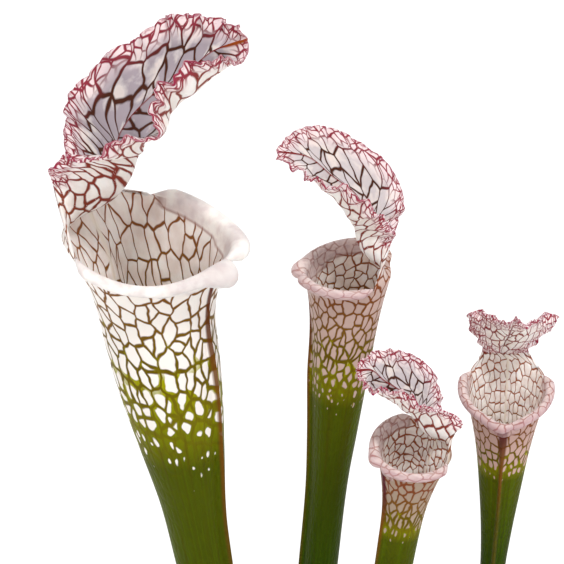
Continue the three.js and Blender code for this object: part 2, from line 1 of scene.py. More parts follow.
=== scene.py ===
import math
import random
from functools import partial
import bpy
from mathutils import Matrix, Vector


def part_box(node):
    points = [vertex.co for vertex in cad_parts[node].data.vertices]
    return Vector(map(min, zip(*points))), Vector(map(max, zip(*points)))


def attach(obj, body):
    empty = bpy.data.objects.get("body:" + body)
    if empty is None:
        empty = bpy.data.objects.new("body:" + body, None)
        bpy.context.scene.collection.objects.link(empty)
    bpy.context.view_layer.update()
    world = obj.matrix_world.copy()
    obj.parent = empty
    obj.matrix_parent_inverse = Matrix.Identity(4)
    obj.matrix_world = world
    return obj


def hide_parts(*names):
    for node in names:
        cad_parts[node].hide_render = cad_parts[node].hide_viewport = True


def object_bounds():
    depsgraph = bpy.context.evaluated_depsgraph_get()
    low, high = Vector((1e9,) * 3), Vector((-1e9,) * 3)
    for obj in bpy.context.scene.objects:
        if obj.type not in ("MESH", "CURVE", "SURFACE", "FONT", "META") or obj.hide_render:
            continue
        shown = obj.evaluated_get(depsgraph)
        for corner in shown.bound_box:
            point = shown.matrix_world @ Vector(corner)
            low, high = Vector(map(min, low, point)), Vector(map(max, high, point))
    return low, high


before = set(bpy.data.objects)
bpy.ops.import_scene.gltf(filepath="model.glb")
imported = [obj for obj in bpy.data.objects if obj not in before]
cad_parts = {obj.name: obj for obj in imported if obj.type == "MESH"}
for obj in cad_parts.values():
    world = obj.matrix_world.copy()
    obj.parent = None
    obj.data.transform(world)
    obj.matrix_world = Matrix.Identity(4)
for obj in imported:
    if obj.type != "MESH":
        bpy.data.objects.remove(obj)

from types import SimpleNamespace

import bpy
import numpy as np
from mathutils import Matrix, Vector, noise

cad_box = [list(corner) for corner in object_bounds()]

# ---- Pot ----
# A round nursery pot. It is injection-moulded in one shot from dark polypropylene, so it has an even
# wall, a turned-out rim to lift it by, soft mould edges and eight drain holes in its floor.

MM = 0.001


def linear(hex_colour):
    """The linear colour of an sRGB hex value."""
    parts = [int(hex_colour[i:i + 2], 16) / 255 for i in (1, 3, 5)]
    return [part / 12.92 if part <= 0.04045 else ((part + 0.055) / 1.055) ** 2.4 for part in parts] + [1]


def add_node(material, kind, *inputs, output=0, **settings):
    """Adds a node with its settings and links, and gives one of its outputs. The inputs fill its sockets
    in order, and a setting is the node's own or a socket's. A socket given is linked, a value is set.
    A Mix node mixes colours."""
    node = material.node_tree.nodes.new("ShaderNode" + kind)
    if kind == "Mix":
        node.data_type = "RGBA"
    own = {name: value for name, value in settings.items() if hasattr(node, name)}
    for name, value in own.items():
        setattr(node, name, value)
    named = {node.inputs[name.replace("_", " ")]: value
             for name, value in settings.items() if name not in own}
    in_order = zip([socket for socket in node.inputs if socket.enabled], inputs)
    for socket, value in [*in_order, *named.items()]:
        if isinstance(value, bpy.types.NodeSocket):
            material.node_tree.links.new(value, socket)
        else:
            socket.default_value = linear(value) if isinstance(value, str) else value
    outputs = [socket for socket in node.outputs if socket.enabled]
    return node.outputs[output] if isinstance(output, str) else outputs[output]


def new_material(name, **settings):
    """A material with one Principled shader, and what adds nodes to it. A setting is a socket's value."""
    material = bpy.data.materials.new(name)
    material.use_nodes = True
    for socket, value in settings.items():
        material.node_tree.nodes["Principled BSDF"].inputs[socket.replace("_", " ")].default_value = value
    return material, partial(add_node, material)


def dress(piece, material, **looks):
    """Links colour, roughness and relief to the material's shader and puts the material on a piece."""
    for socket, source in looks.items():
        shader = material.node_tree.nodes["Principled BSDF"]
        material.node_tree.links.new(source, shader.inputs[socket.replace("_", " ")])
    piece.data.materials.append(material)


def only(piece):
    """Selects one object, and makes it the one that operators act on."""
    bpy.ops.object.select_all(action="DESELECT")
    piece.select_set(True)
    bpy.context.view_layer.objects.active = piece


def apply_modifier(piece, kind, **settings):
    only(piece)
    modifier = piece.modifiers.new(kind.lower(), kind)
    for name, value in settings.items():
        setattr(modifier, name, value)
    bpy.ops.object.modifier_apply(modifier=modifier.name)


def piece_from(name, points, faces):
    mesh = bpy.data.meshes.new(name)
    mesh.from_pydata([tuple(point) for point in points], [], faces)
    mesh.validate()
    piece = bpy.data.objects.new(name, mesh)
    bpy.context.scene.collection.objects.link(piece)
    return piece


pot_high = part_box("pot")[1]
pot_height = pot_high.z
pot_rim_bulge = 0.5 * MM
pot_rim_radius = pot_high.x - pot_rim_bulge
pot_rim_overhang = 4.5 * MM
pot_top_radius = pot_rim_radius - pot_rim_overhang
pot_base_radius = 53 * MM
pot_foot_chamfer = 1.2 * MM
pot_wall = 2.2 * MM
pot_floor = 3 * MM
pot_floor_corner = 7 * MM  # the height where the wall starts to turn into the floor
pot_floor_inset = 3 * MM  # how far in from the wall that turn ends
pot_rim_height = 14 * MM
pot_rim_rounding = 2.4 * MM
pot_rim_lean = 0.6 * MM
drain_holes = 8
drain_radius = 4 * MM
drain_circle = 36 * MM


def pot_inner_radius(height):
    slope = (pot_top_radius - pot_base_radius) / pot_height
    return pot_base_radius - pot_wall + slope * height


rim_foot = pot_height - pot_rim_height
pot_outline = [
    (0, 0), (pot_base_radius - pot_foot_chamfer, 0), (pot_base_radius, pot_foot_chamfer),
    (pot_inner_radius(rim_foot) + pot_wall, rim_foot),
    (pot_rim_radius, rim_foot),
    (pot_rim_radius + pot_rim_bulge, pot_height - pot_rim_rounding),
    (pot_rim_radius - pot_rim_lean, pot_height),
    (pot_top_radius - pot_rim_lean, pot_height),
    (pot_top_radius - pot_wall, pot_height - pot_rim_rounding),
    (pot_inner_radius(pot_floor_corner), pot_floor_corner),
    (pot_inner_radius(pot_floor) - pot_floor_inset, pot_floor), (0, pot_floor),
]
pot = piece_from("nursery_pot", [(x, 0, z) for x, z in pot_outline], [])
pot.data.edges.add(len(pot_outline) - 1)
pot.data.edges.foreach_set("vertices", [i + j for i in range(len(pot_outline) - 1) for j in (0, 1)])
only(pot)
bpy.ops.object.mode_set(mode="EDIT")
bpy.ops.mesh.select_all(action="SELECT")
bpy.ops.mesh.spin(steps=120, angle=2 * math.pi, center=(0, 0, 0), axis=(0, 0, 1))
bpy.ops.mesh.select_all(action="SELECT")
bpy.ops.mesh.remove_doubles(threshold=1e-5)
bpy.ops.mesh.normals_make_consistent(inside=False)
bpy.ops.object.mode_set(mode="OBJECT")
for i in range(drain_holes):
    turn = 2 * math.pi * (i + 0.5) / drain_holes
    place = (drain_circle * math.cos(turn), drain_circle * math.sin(turn), pot_floor / 2)
    bpy.ops.mesh.primitive_cylinder_add(vertices=32, radius=drain_radius, depth=3 * pot_floor, location=place)
    drill = bpy.context.object
    apply_modifier(pot, "BOOLEAN", object=drill, operation="DIFFERENCE", solver="EXACT")
    bpy.data.objects.remove(drill)
apply_modifier(pot, "BEVEL", width=0.5 * MM, segments=3, limit_method="ANGLE", angle_limit=math.radians(25))
bpy.ops.object.shade_smooth_by_angle(angle=math.radians(35))

# Polypropylene from a spark-eroded mould: an even satin black-grey with a fine grain, greyed a little
# by lime where watering dries on the rim and low on the wall.
polypropylene, add = new_material("polypropylene_moulded", Roughness=0.46)
place = add("TexCoord", output="Object")
grain = add("TexNoise", place, 1 / (0.9 * MM), 3.0)
streak_place = add("Mapping", place, Scale=(1.0, 1.0, 0.22))
streaks = add("TexNoise", streak_place, 1 / (9 * MM), 6.0, 0.62)
height = add("SeparateXYZ", place, output="Z")
near_rim = add("MapRange", height, rim_foot - 6 * MM, pot_height, 0.0, 0.55)
near_base = add("MapRange", height, 0.0, 26 * MM, 0.5, 0.0)
weathered = add("Math", near_rim, near_base, operation="ADD")
dried = add("MapRange", streaks, 0.5, 0.72)
lime = add("Math", weathered, dried, operation="MULTIPLY")
mould_colour = add("Mix", streaks, "#1d1f22", "#2c2e32")
dress(pot, polypropylene,
      Base_Color=add("Mix", lime, mould_colour, "#77756f"),
      Roughness=add("MapRange", streaks, 0.3, 0.8, 0.4, 0.58),
      Normal=add("Bump", 0.25, 0.08 * MM, Height=grain))
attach(pot, "root")
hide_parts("pot")

# ---- Potting mix ----
# Loose peat with perlite, filled to a finger's width below the rim. It is a crumbly bed with a hole
# where each leaf and the rhizome come through, and larger crumbs of peat lie on top of it.


def copy_of_node(node, name):
    """A copy of a node's solid with its loose triangles merged, for finer work."""
    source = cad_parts[node]
    piece = bpy.data.objects.new(name, source.data.copy())
    bpy.context.scene.collection.objects.link(piece)
    only(piece)
    bpy.ops.object.mode_set(mode="EDIT")
    bpy.ops.mesh.select_all(action="SELECT")
    bpy.ops.mesh.remove_doubles(threshold=1e-6)
    bpy.ops.object.mode_set(mode="OBJECT")
    piece.data.materials.clear()
    return piece


def roughen(piece, lowest, layers):
    """Moves the points above a height along their normals by noise. A layer is a size and a depth."""
    places = [vertex.co.copy() for vertex in piece.data.vertices]
    normals = [vertex.normal.copy() for vertex in piece.data.vertices]
    for i, place in enumerate(places):
        if place.z > lowest:
            places[i] = place + normals[i] * sum(depth * noise.noise(place / size) for size, depth in layers)
    piece.data.vertices.foreach_set("co", [value for place in places for value in place])
    piece.data.update()


mix_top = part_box("potting_mix")[1].z
above_mix = mix_top + 0.03  # where rays start that look for the bed
mix_bed = copy_of_node("potting_mix", "peat_bed")
apply_modifier(mix_bed, "REMESH", mode="VOXEL", voxel_size=1.1 * MM)
roughen(mix_bed, mix_top - 9 * MM, [(7 * MM, 1.1 * MM), (3.1 * MM, 0.8 * MM), (1.5 * MM, 0.5 * MM)])
bpy.ops.object.shade_smooth()


def scatter(name, count, seed, sizes, squash, reach, avoid, faces=1, sink=0.3):
    """Scatters lumpy grains over the bed, each sunk by a share of its size. None lies in the circles
    (x, y, radius) of avoid, and most are small."""
    chance = random.Random(seed)
    only(mix_bed)
    bpy.ops.mesh.primitive_ico_sphere_add(subdivisions=faces, radius=1)
    seed_grain = bpy.context.object
    shape = [vertex.co.copy() for vertex in seed_grain.data.vertices]
    rings = [tuple(polygon.vertices) for polygon in seed_grain.data.polygons]
    bpy.data.objects.remove(seed_grain)
    points, polygons = [], []
    while len(points) < count * len(shape):
        turn = chance.uniform(0, 2 * math.pi)
        radius = reach * math.sqrt(chance.random())
        x, y = radius * math.cos(turn), radius * math.sin(turn)
        if any(math.hypot(x - cx, y - cy) < clear for cx, cy, clear in avoid):
            continue
        hit, spot, _, _ = mix_bed.ray_cast((x, y, above_mix), (0, 0, -1))
        if not hit:
            continue
        size = sizes[0] + (sizes[1] - sizes[0]) * chance.random() ** 2.2
        spin = Matrix.Rotation(chance.uniform(0, 6.28), 3, "Z")
        spin = spin @ Matrix.Rotation(chance.uniform(-0.6, 0.6), 3, "X")
        stretch = Vector((chance.uniform(0.8, 1.5), chance.uniform(0.7, 1.1),
                          squash * chance.uniform(0.7, 1.2)))
        start = len(points)
        shift = Vector([chance.uniform(0, 40) for _ in range(3)])
        for corner in shape:
            lump = corner * (1 + 0.55 * noise.noise(corner * 1.6 + shift))
            grown = spin @ Vector([lump[k] * stretch[k] for k in range(3)])
            points.append(spot + grown * size + Vector((0, 0, size * squash * (1 - 2 * sink))))
        polygons.extend(tuple(start + i for i in ring) for ring in rings)
    return piece_from(name, points, polygons)


leaf_holes = []
for node in ("pitcher_large", "pitcher_medium", "pitcher_small", "pitcher_front"):
    low_points = [vertex.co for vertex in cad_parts[node].data.vertices
                  if vertex.co.z < mix_top + 4 * MM]
    centre = sum(low_points, Vector()) / len(low_points)
    spread = max((point - centre).xy.length for point in low_points)
    leaf_holes.append((centre.x, centre.y, spread))
bed_reach = pot_inner_radius(mix_top) - 4 * MM
crumbs = scatter("peat_crumbs", 1500, 11, (0.7 * MM, 3.0 * MM), 0.7, bed_reach,
                 [(x, y, clear + 3.2 * MM) for x, y, clear in leaf_holes], faces=2)
only(crumbs)
bpy.ops.object.shade_smooth()

# Peat, milled: dull fibres and dust from near black to ginger, which soak up light.
peat, add = new_material("milled_peat", Roughness=0.95, Specular_IOR_Level=0.2)
place = add("TexCoord", output="Object")
lumps = add("TexNoise", place, 1 / (4 * MM), 8.0, 0.7)
crumb_cells = add("TexVoronoi", place, 1 / (2.2 * MM), output="Color")
fibre_place = add("Mapping", place, Scale=(1.0, 0.18, 1.0), Rotation=(0.4, 0.2, 0.9))
fibres = add("TexNoise", fibre_place, 1 / (0.8 * MM), 4.0)
brown = add("MapRange", lumps, 0.32, 0.68)
brown = add("Mix", brown, "#20150e", "#5a3f2a")
crumb_share = add("Math", crumb_cells, 0.55, operation="MULTIPLY")
brown = add("Mix", crumb_share, brown, "#3c281a")
fibre_share = add("MapRange", fibres, 0.6, 0.78, 0.0, 0.8)
brown = add("Mix", fibre_share, brown, "#8f6a44")
dress(mix_bed, peat, Base_Color=brown, Normal=add("Bump", 0.7, 0.6 * MM, Height=lumps))
dress(crumbs, peat)
for piece in (mix_bed, crumbs):
    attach(piece, "root")
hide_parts("potting_mix")

# ---- Perlite ----
# White puffed volcanic glass in the peat, which keeps it open. Watering leaves its grains on top.

grains = scatter("perlite_grains", 190, 5, (0.8 * MM, 2.1 * MM), 0.8, bed_reach - 2 * MM,
                 [(x, y, clear + 3.5 * MM) for x, y, clear in leaf_holes], faces=2, sink=0.35)
only(grains)
bpy.ops.object.shade_smooth()
perlite, add = new_material("puffed_perlite", Roughness=0.85,
                            Subsurface_Weight=0.15, Subsurface_Scale=0.6 * MM)
place = add("TexCoord", output="Object")
pores = add("TexNoise", place, 1 / (0.5 * MM), 5.0)
stains = add("TexNoise", place, 1 / (3 * MM), 3.0)
stained = add("MapRange", stains, 0.42, 0.7)
chalk = add("Mix", stained, "#efece4", "#b9a88c")
dress(grains, perlite, Base_Color=chalk, Normal=add("Bump", 0.6, 0.2 * MM, Height=pores))
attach(grains, "root")

# ---- Bog moss ----
# Living sphagnum that comes up by itself on wet peat: small star heads of soft pointed leaves in
# patches, packed edge to edge, pale green where they are young and reddish where they are dry.

# The patches' middles and radii in millimetres, and the heads on each square millimetre.
moss_patches = [(-34, -30, 17), (38, -34, 13), (-44, 22, 13), (8, 44, 18), (48, 24, 11), (-6, -50, 12),
                (26, -52, 8)]
moss_heads_per_area = 0.34
moss_dome = 2.2 * MM
moss_head_leaves = 15
moss_chance = random.Random(23)


def moss_head(spot, size, leaves):
    """One star head: curved three-sided leaves in two whorls round a low middle."""
    points, polygons = [], []
    for i in range(leaves):
        inner = i >= leaves * 0.6
        turn = 2 * math.pi * i * 0.618 + moss_chance.uniform(-0.2, 0.2)
        lean = (0.75 if inner else 0.25) + moss_chance.uniform(-0.15, 0.15)
        long = size * (0.7 if inner else 1.0) * moss_chance.uniform(0.8, 1.15)
        out = Vector((math.cos(turn), math.sin(turn), 0))
        side = Vector((-math.sin(turn), math.cos(turn), 0)) * size * 0.17
        start = len(points)
        foot = spot + out * size * 0.08
        middle = foot + out * long * 0.55 + Vector((0, 0, long * lean))
        tip = foot + out * long + Vector((0, 0, long * lean * 0.7))
        crease = Vector((0, 0, -size * 0.09))
        points.extend([foot - side * 0.6, foot + side * 0.6, middle - side, middle + side,
                       foot + crease, middle + crease, tip])
        faces = [(0, 4, 5, 2), (4, 1, 3, 5), (2, 5, 6), (5, 3, 6), (0, 2, 3, 1), (2, 6, 3), (0, 1, 4)]
        polygons.extend(tuple(start + k for k in face) for face in faces)
    return points, polygons


points, polygons = [], []
for x, y, radius in moss_patches:
    for _ in range(int(moss_heads_per_area * radius * radius)):
        turn = moss_chance.uniform(0, 2 * math.pi)
        away = radius * math.sqrt(moss_chance.random()) * MM
        place_x, place_y = x * MM + away * math.cos(turn), y * MM + away * math.sin(turn)
        if math.hypot(place_x, place_y) > bed_reach - 2 * MM:
            continue
        if any(math.hypot(place_x - cx, place_y - cy) < clear + 6 * MM for cx, cy, clear in leaf_holes):
            continue
        hit, spot, _, _ = mix_bed.ray_cast((place_x, place_y, above_mix), (0, 0, -1))
        if hit:
            dome = moss_dome * (1 - (away / (radius * MM)) ** 2)
            size = moss_chance.uniform(1.8, 3.0) * MM
            head_points, head_faces = moss_head(spot + Vector((0, 0, dome)), size, moss_head_leaves)
            polygons.extend(tuple(len(points) + k for k in face) for face in head_faces)
            points.extend(head_points)
moss = piece_from("bog_moss", points, polygons)
sphagnum, add = new_material("living_sphagnum", Roughness=0.7,
                             Subsurface_Weight=0.2, Subsurface_Scale=0.8 * MM)
place = add("TexCoord", output="Object")
patches = add("TexNoise", place, 1 / (11 * MM), 2.0)
heads = add("TexNoise", place, 1 / (1.6 * MM), 2.0)
young = add("MapRange", heads, 0.35, 0.65)
moss_green = add("Mix", young, "#55701f", "#a3b45c")
dry = add("MapRange", patches, 0.55, 0.72, 0.0, 0.75)
moss_green = add("Mix", dry, moss_green, "#8d5a3a")
dress(moss, sphagnum, Base_Color=moss_green)
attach(moss, "root")

# ---- Rhizome ----
# The plant's stout creeping stem, just under the surface, with a short branch and the withered
# stubs of old leaves. Its skin is corky, ringed where leaves have dropped, and stained by the peat.

rhizome = copy_of_node("rhizome", "rhizome_stem")
apply_modifier(rhizome, "REMESH", mode="VOXEL", voxel_size=0.6 * MM)
apply_modifier(rhizome, "SMOOTH", factor=0.5, iterations=4)
roughen(rhizome, 0.0, [(3.5 * MM, 0.35 * MM), (1.2 * MM, 0.22 * MM)])
bpy.ops.object.shade_smooth()
cork, add = new_material("rhizome_cork", Roughness=0.85)
place = add("TexCoord", output="Object")
ring_place = add("Mapping", place, Scale=(1.0, 0.25, 0.25))
rings = add("TexNoise", ring_place, 1 / (1.6 * MM), 5.0, Distortion=0.6)
flakes = add("TexNoise", place, 1 / (2.4 * MM), 6.0)
raised = add("MapRange", rings, 0.38, 0.62)
bark = add("Mix", raised, "#2f1c13", "#7a4f34")
flaked = add("MapRange", flakes, 0.58, 0.75, 0.0, 0.7)
bark = add("Mix", flaked, bark, "#a07a55")
dress(rhizome, cork, Base_Color=bark, Normal=add("Bump", 0.6, 0.4 * MM, Height=rings))
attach(rhizome, "root")
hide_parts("rhizome")

# ---- Pitcher leaves ----
# Each leaf grew as one piece: a hollow tube with a wing up its front, a rolled lip round its mouth,
# and a lid with frilled edges. The wall is thin and translucent, white between a net of red veins.

BACK_ANGLE = math.radians(64)  # half of the tube's back, which grows on as the lid
BACK_COLUMNS = 22
TUBE_ROWS = 90
LIP_ROWS = 12
LIP_ROLL = math.radians(235)
LIP_TAPER = 0.3  # the angle, in radians, over which the lip grows beside the lid
RIM_FROM = 0.9  # shares of the tube's height where the rim starts to flare and the crest to rise
CREST_FROM = 0.78
CREST_ANGLE = 0.45  # radians
FOOT_HEIGHT = 100  # millimetres
WING_HALF_WIDTH = 0.55
MARGIN_THINNING = 0.45  # the share of its thickness that the wall loses at the lid's edge

# Marks kept at each point for the colours. green grows down the tube from 0 where it starts, margin is 1
# at the lid's edge, lip is 1 on the lip and grows over the roll, rib and wing are distances from them in
# millimetres, and lid is 1 on the lid and 2 at its tip.
MARKS = ("green", "margin", "lip", "rib", "wing", "lid")
FAR_INSIDE = -9.0  # the mark of a margin, and of a rib or wing, that is nowhere near
FAR_OFF = 99.0

# Sizes in millimetres, facing and slant in degrees, and the other angles in radians. foot and mouth are
# the ends of the tube's middle line, bow is how far it bends, bow_low how much lower than halfway, and
# facing turns the mouth towards +X. radii run from the foot (0) to the rim (1), and oval widens them.
# The rim drops at its front, side and beak, and flares more at its back. The lip is broader on one side
# of the beak (brim), curls on the other (curl), and is notched between. crest is a ridge up the back.
# The lid's midrib and edges are points from the rim (0) to the tip (1), measured from the middle of the
# mouth, and its halves bulge between them. Its edges have a length (edge) and a frill in waves.
# cell is the width of a mesh of the vein net, and vein a vein's share of it. The lid's meshes are
# shorter by the ladder near the mouth and slant away from the midrib, and all are as uneven as loose
# says. throat is how many more there are across and along inside the tube. green gives the heights where
# the white starts to give way to green and where it has gone. blush is a share of a colour, and the
# share after it is painted shade, which greys the panes on the lid's upper face.
SLIM_LEAF = dict(thickness=0.75, oval=0.04, beak_turn=0, beak_width=0.3, brim=0)
LEAVES = {
    "pitcher_large": dict(
        foot=(-12, 5, FOOT_HEIGHT), mouth=(-46, -26, 403.5), bow=(5.4, 0, 0), bow_low=0.75, facing=62,
        radii=[(0, 3.6), (0.25, 4.6), (0.45, 6), (0.63, 8.3), (0.7, 9.4), (0.77, 12.4), (0.84, 15.3),
               (0.89, 16.5), (0.95, 17), (1, 18.4)],
        thickness=0.9, oval=0.05, front_drop=8.5, side_drop=0.6, flare=4.6, back_flare=5.5,
        beak_drop=-3.6, beak_out=3.6, beak_turn=-0.25, beak_width=0.6,
        lip=1.7, brim=0.8, curl=1.2, notch=0.9, crest=5, wing=2,
        midrib=[(0.1, -9, 7, 15), (0.3, -6.5, 6, 30.5), (0.5, 2.5, 4, 42.5), (0.7, 13.5, 2, 51),
                (0.85, 21, 0, 58), (1, 30.5, -3, 62.5)],
        left_edge=[(0.1, -18, 20, 11.5), (0.2, -24.5, 24, 24), (0.3, -21.5, 24, 37.5), (0.4, -10.5, 23, 50),
                   (0.5, -0.5, 20, 56.5), (0.6, 6, 17, 63), (0.75, 15.5, 11, 65.5), (0.9, 25, 4, 65.5),
                   (1, 28.5, -2, 64.5)],
        right_edge=[(0.1, -25, -10, 21), (0.18, -25.5, -14, 28), (0.25, -18.5, -18, 31),
                    (0.32, -9.5, -21, 36), (0.4, -0.5, -23, 39), (0.48, 5.5, -22, 42.5),
                    (0.56, 4, -19, 49.5), (0.66, 8, -17, 54.5), (0.8, 19, -13, 60), (0.9, 25.5, -11, 58),
                    (1, 29.5, -8, 57.5)],
        left_bulge=[(0, 0), (0.1, 3), (0.4, 4), (1, 2)],
        right_bulge=[(0, 0), (0.1, 8), (0.25, 11), (0.4, 6), (0.6, 7), (0.8, 6), (1, 2)],
        frill=1.6, wave=14, edge=110, rows=190,
        cell=3.9, lid_cell=5.2, vein=0.115, lid_vein=0.17, ladder=0.6, slant=52, loose=1.0,
        throat=(1.1, 0.75), margin=4.6, blush=0.0, painted_lid_shade=1.0, pane="#f4ece6", green=(370, 332)),
    "pitcher_medium": dict(
        SLIM_LEAF,
        foot=(4, 2, FOOT_HEIGHT), mouth=(16.5, 0, 384.5), bow=(-6.6, 0, 0), bow_low=0.4, facing=-92,
        radii=[(0, 3), (0.3, 4), (0.5, 4.8), (0.65, 5.2), (0.75, 5.6), (0.81, 6.9), (0.9, 9.5),
               (0.95, 10.5), (1, 11.6)],
        front_drop=2.6, side_drop=2, flare=3, back_flare=1.4, beak_drop=0.8, beak_out=0.6,
        lip=1.5, curl=0.3, notch=0.6, crest=2.5, wing=1.6,
        midrib=[(0.11, 5, 0, 7.5), (0.28, 4, 0, 16), (0.45, 0, 0, 24), (0.64, -7.5, 0, 30),
                (0.81, -14, 0, 35.5), (1, -23, 0, 37.5)],
        left_edge=[(0.11, 10.5, -9, 11.5), (0.2, 12, -10, 15), (0.3, 8.5, -11, 19.5), (0.42, 4, -12, 25),
                   (0.52, -2, -13, 30), (0.62, -8.5, -13, 32), (0.72, -12.5, -12, 32.5), (0.84, -16, -9, 34),
                   (1, -23.5, -3, 36.5)],
        right_edge=[(0.1, 10.5, 11, 4), (0.2, 14, 13, 11), (0.3, 14.5, 14, 21.5), (0.4, 7, 14, 31.5),
                    (0.55, -5, 12, 40), (0.7, -13.5, 9, 42.5), (0.85, -20, 6, 40.5), (1, -23.5, 2, 37.5)],
        left_bulge=[(0, 0), (0.1, 5), (0.3, 7), (0.5, 6), (0.7, 2.5), (1, 1)],
        right_bulge=[(0, 0), (0.1, 2), (0.4, 3), (1, 1)],
        frill=1.1, wave=10, edge=75, rows=150,
        cell=2.5, lid_cell=3.6, vein=0.155, lid_vein=0.14, ladder=0.2, slant=48, loose=0.9,
        throat=(0.95, 1.25), margin=3.4, blush=0.5, painted_lid_shade=0.6, pane="#c5a99f", green=(361, 342)),
    "pitcher_small": dict(
        SLIM_LEAF,
        foot=(15, -14, FOOT_HEIGHT), mouth=(34.5, -32, 340), bow=(-4.6, 0, 0), bow_low=0, facing=-62,
        radii=[(0, 2.8), (0.4, 4.3), (0.7, 5.2), (0.84, 5.5), (0.91, 6.2), (0.955, 7.4), (1, 9.1)],
        front_drop=3.3, side_drop=2, flare=2.2, back_flare=1, beak_drop=0.3, beak_out=0.2,
        lip=1.3, curl=0.2, notch=0.4, crest=2, wing=1.3,
        midrib=[(0.1, 2.5, 4, 5.5), (0.25, 1, 4, 11), (0.4, -2.5, 2, 16), (0.55, -6, 0, 19),
                (0.7, -10, -2, 22.5), (0.85, -13.5, -4, 26.5), (1, -18, -6, 27.5)],
        left_edge=[(0.06, 10.5, -3, 4.5), (0.12, 13.5, -4, 9.5), (0.2, 7, -5, 14.5), (0.3, 2, -7, 16),
                   (0.4, -1.5, -9, 20), (0.5, -4.5, -11, 22.5), (0.6, -9, -12, 24),
                   (0.75, -13.5, -12, 23.5), (0.9, -16.5, -10, 25.5), (1, -18, -7, 27)],
        right_edge=[(0.1, 8, 13, 1.5), (0.2, 8, 14, 8.5), (0.3, 7, 14, 15), (0.42, 2.5, 12, 22.5),
                    (0.55, -3.5, 9, 27), (0.7, -8.5, 5, 29.5), (0.85, -14.5, 0, 30), (1, -18, -4, 28)],
        left_bulge=[(0, 0), (0.1, 4), (0.3, 5), (0.6, 4), (0.8, 2), (1, 0.3)],
        right_bulge=[(0, 0), (0.1, 1.5), (0.4, 2), (1, 1)],
        frill=0.8, wave=7.5, edge=60, rows=130,
        cell=2.3, lid_cell=2.8, vein=0.19, lid_vein=0.16, ladder=0.3, slant=45, loose=0.9,
        # Its pane colour is darker and browner than the other leaves', partly painted shade.
        throat=(1.0, 1.45), margin=2.8, blush=0.6, painted_lid_shade=0.7, pane="#ab9582", green=(319, 310)),
    "pitcher_front": dict(
        SLIM_LEAF,
        foot=(36, 4, FOOT_HEIGHT), mouth=(63.5, 0, 345), bow=(5.9, 0, 0), bow_low=0, facing=-6,
        radii=[(0, 2.6), (0.46, 2.9), (0.68, 3.1), (0.755, 3.5), (0.81, 4.5), (0.87, 6.1), (0.94, 8.2),
               (1, 10)],
        front_drop=6, side_drop=0, flare=1.9, back_flare=1.2, beak_drop=1, beak_out=1.6,
        lip=1.3, curl=0, notch=0.4, crest=2, wing=1.3,
        midrib=[(0.1, -1, 9, 8), (0.3, -0.5, 8, 11.5), (0.55, 0.5, 2, 17), (0.8, 1, -5, 23.5),
                (1, 1.5, -9, 27.5)],
        left_edge=[(0.1, 7.5, 10, 7), (0.25, 9, 10, 10.5), (0.4, 13.5, 8, 16.5), (0.5, 16, 6, 21),
                   (0.62, 12, 3, 23.5), (0.75, 8, -2, 23), (0.9, 5, -7, 23.5), (1, 2.5, -9, 26.5)],
        right_edge=[(0.1, -7, 10, 7.5), (0.25, -8.5, 10, 12), (0.4, -11.5, 8, 18), (0.5, -12, 6, 22),
                    (0.62, -8.5, 3, 24.5), (0.75, -5, -2, 24.5), (0.9, -2, -7, 24.5), (1, 0.5, -9, 26)],
        left_bulge=[(0, 0), (0.1, 1.5), (0.4, 2), (1, 0.5)],
        right_bulge=[(0, 0), (0.1, 1.5), (0.4, 2), (1, 0.5)],
        frill=0.7, wave=7.5, edge=50, rows=120,
        cell=2.3, lid_cell=2.5, vein=0.14, lid_vein=0.16, ladder=0.0, slant=12, loose=0.6,
        throat=(1.25, 1.15), margin=5.2, blush=1.0, painted_lid_shade=0.4, pane="#c3a197", green=(326, 316.5)),
}


def ease(x):
    """A smooth step from 0 to 1."""
    x = np.clip(x, 0, 1)
    return x * x * (3 - 2 * x)


def unit(vectors):
    return vectors / np.linalg.norm(vectors, axis=-1, keepdims=True)


def through(knots, place):
    """The smooth curve through knots (place, value, ...), at one place or many."""
    knots = np.array(knots, float)
    places, values = knots[:, 0], knots[:, 1:]
    slopes = np.diff(values, axis=0) / np.diff(places)[:, None]
    tangents = np.concatenate([slopes[:1], (slopes[:-1] + slopes[1:]) / 2, slopes[-1:]])
    x = np.clip(np.asarray(place, float), places[0], places[-1])
    i = np.clip(np.searchsorted(places, x, side="right") - 1, 0, len(places) - 2)
    width = (places[i + 1] - places[i])[..., None]
    t = (x - places[i])[..., None] / width
    found = (1 + 2 * t) * (1 - t) ** 2 * values[i] + t * (1 - t) ** 2 * width * tangents[i]
    found = found + t * t * (3 - 2 * t) * values[i + 1] + t * t * (t - 1) * width * tangents[i + 1]
    return found[..., 0] if values.shape[1] == 1 else found


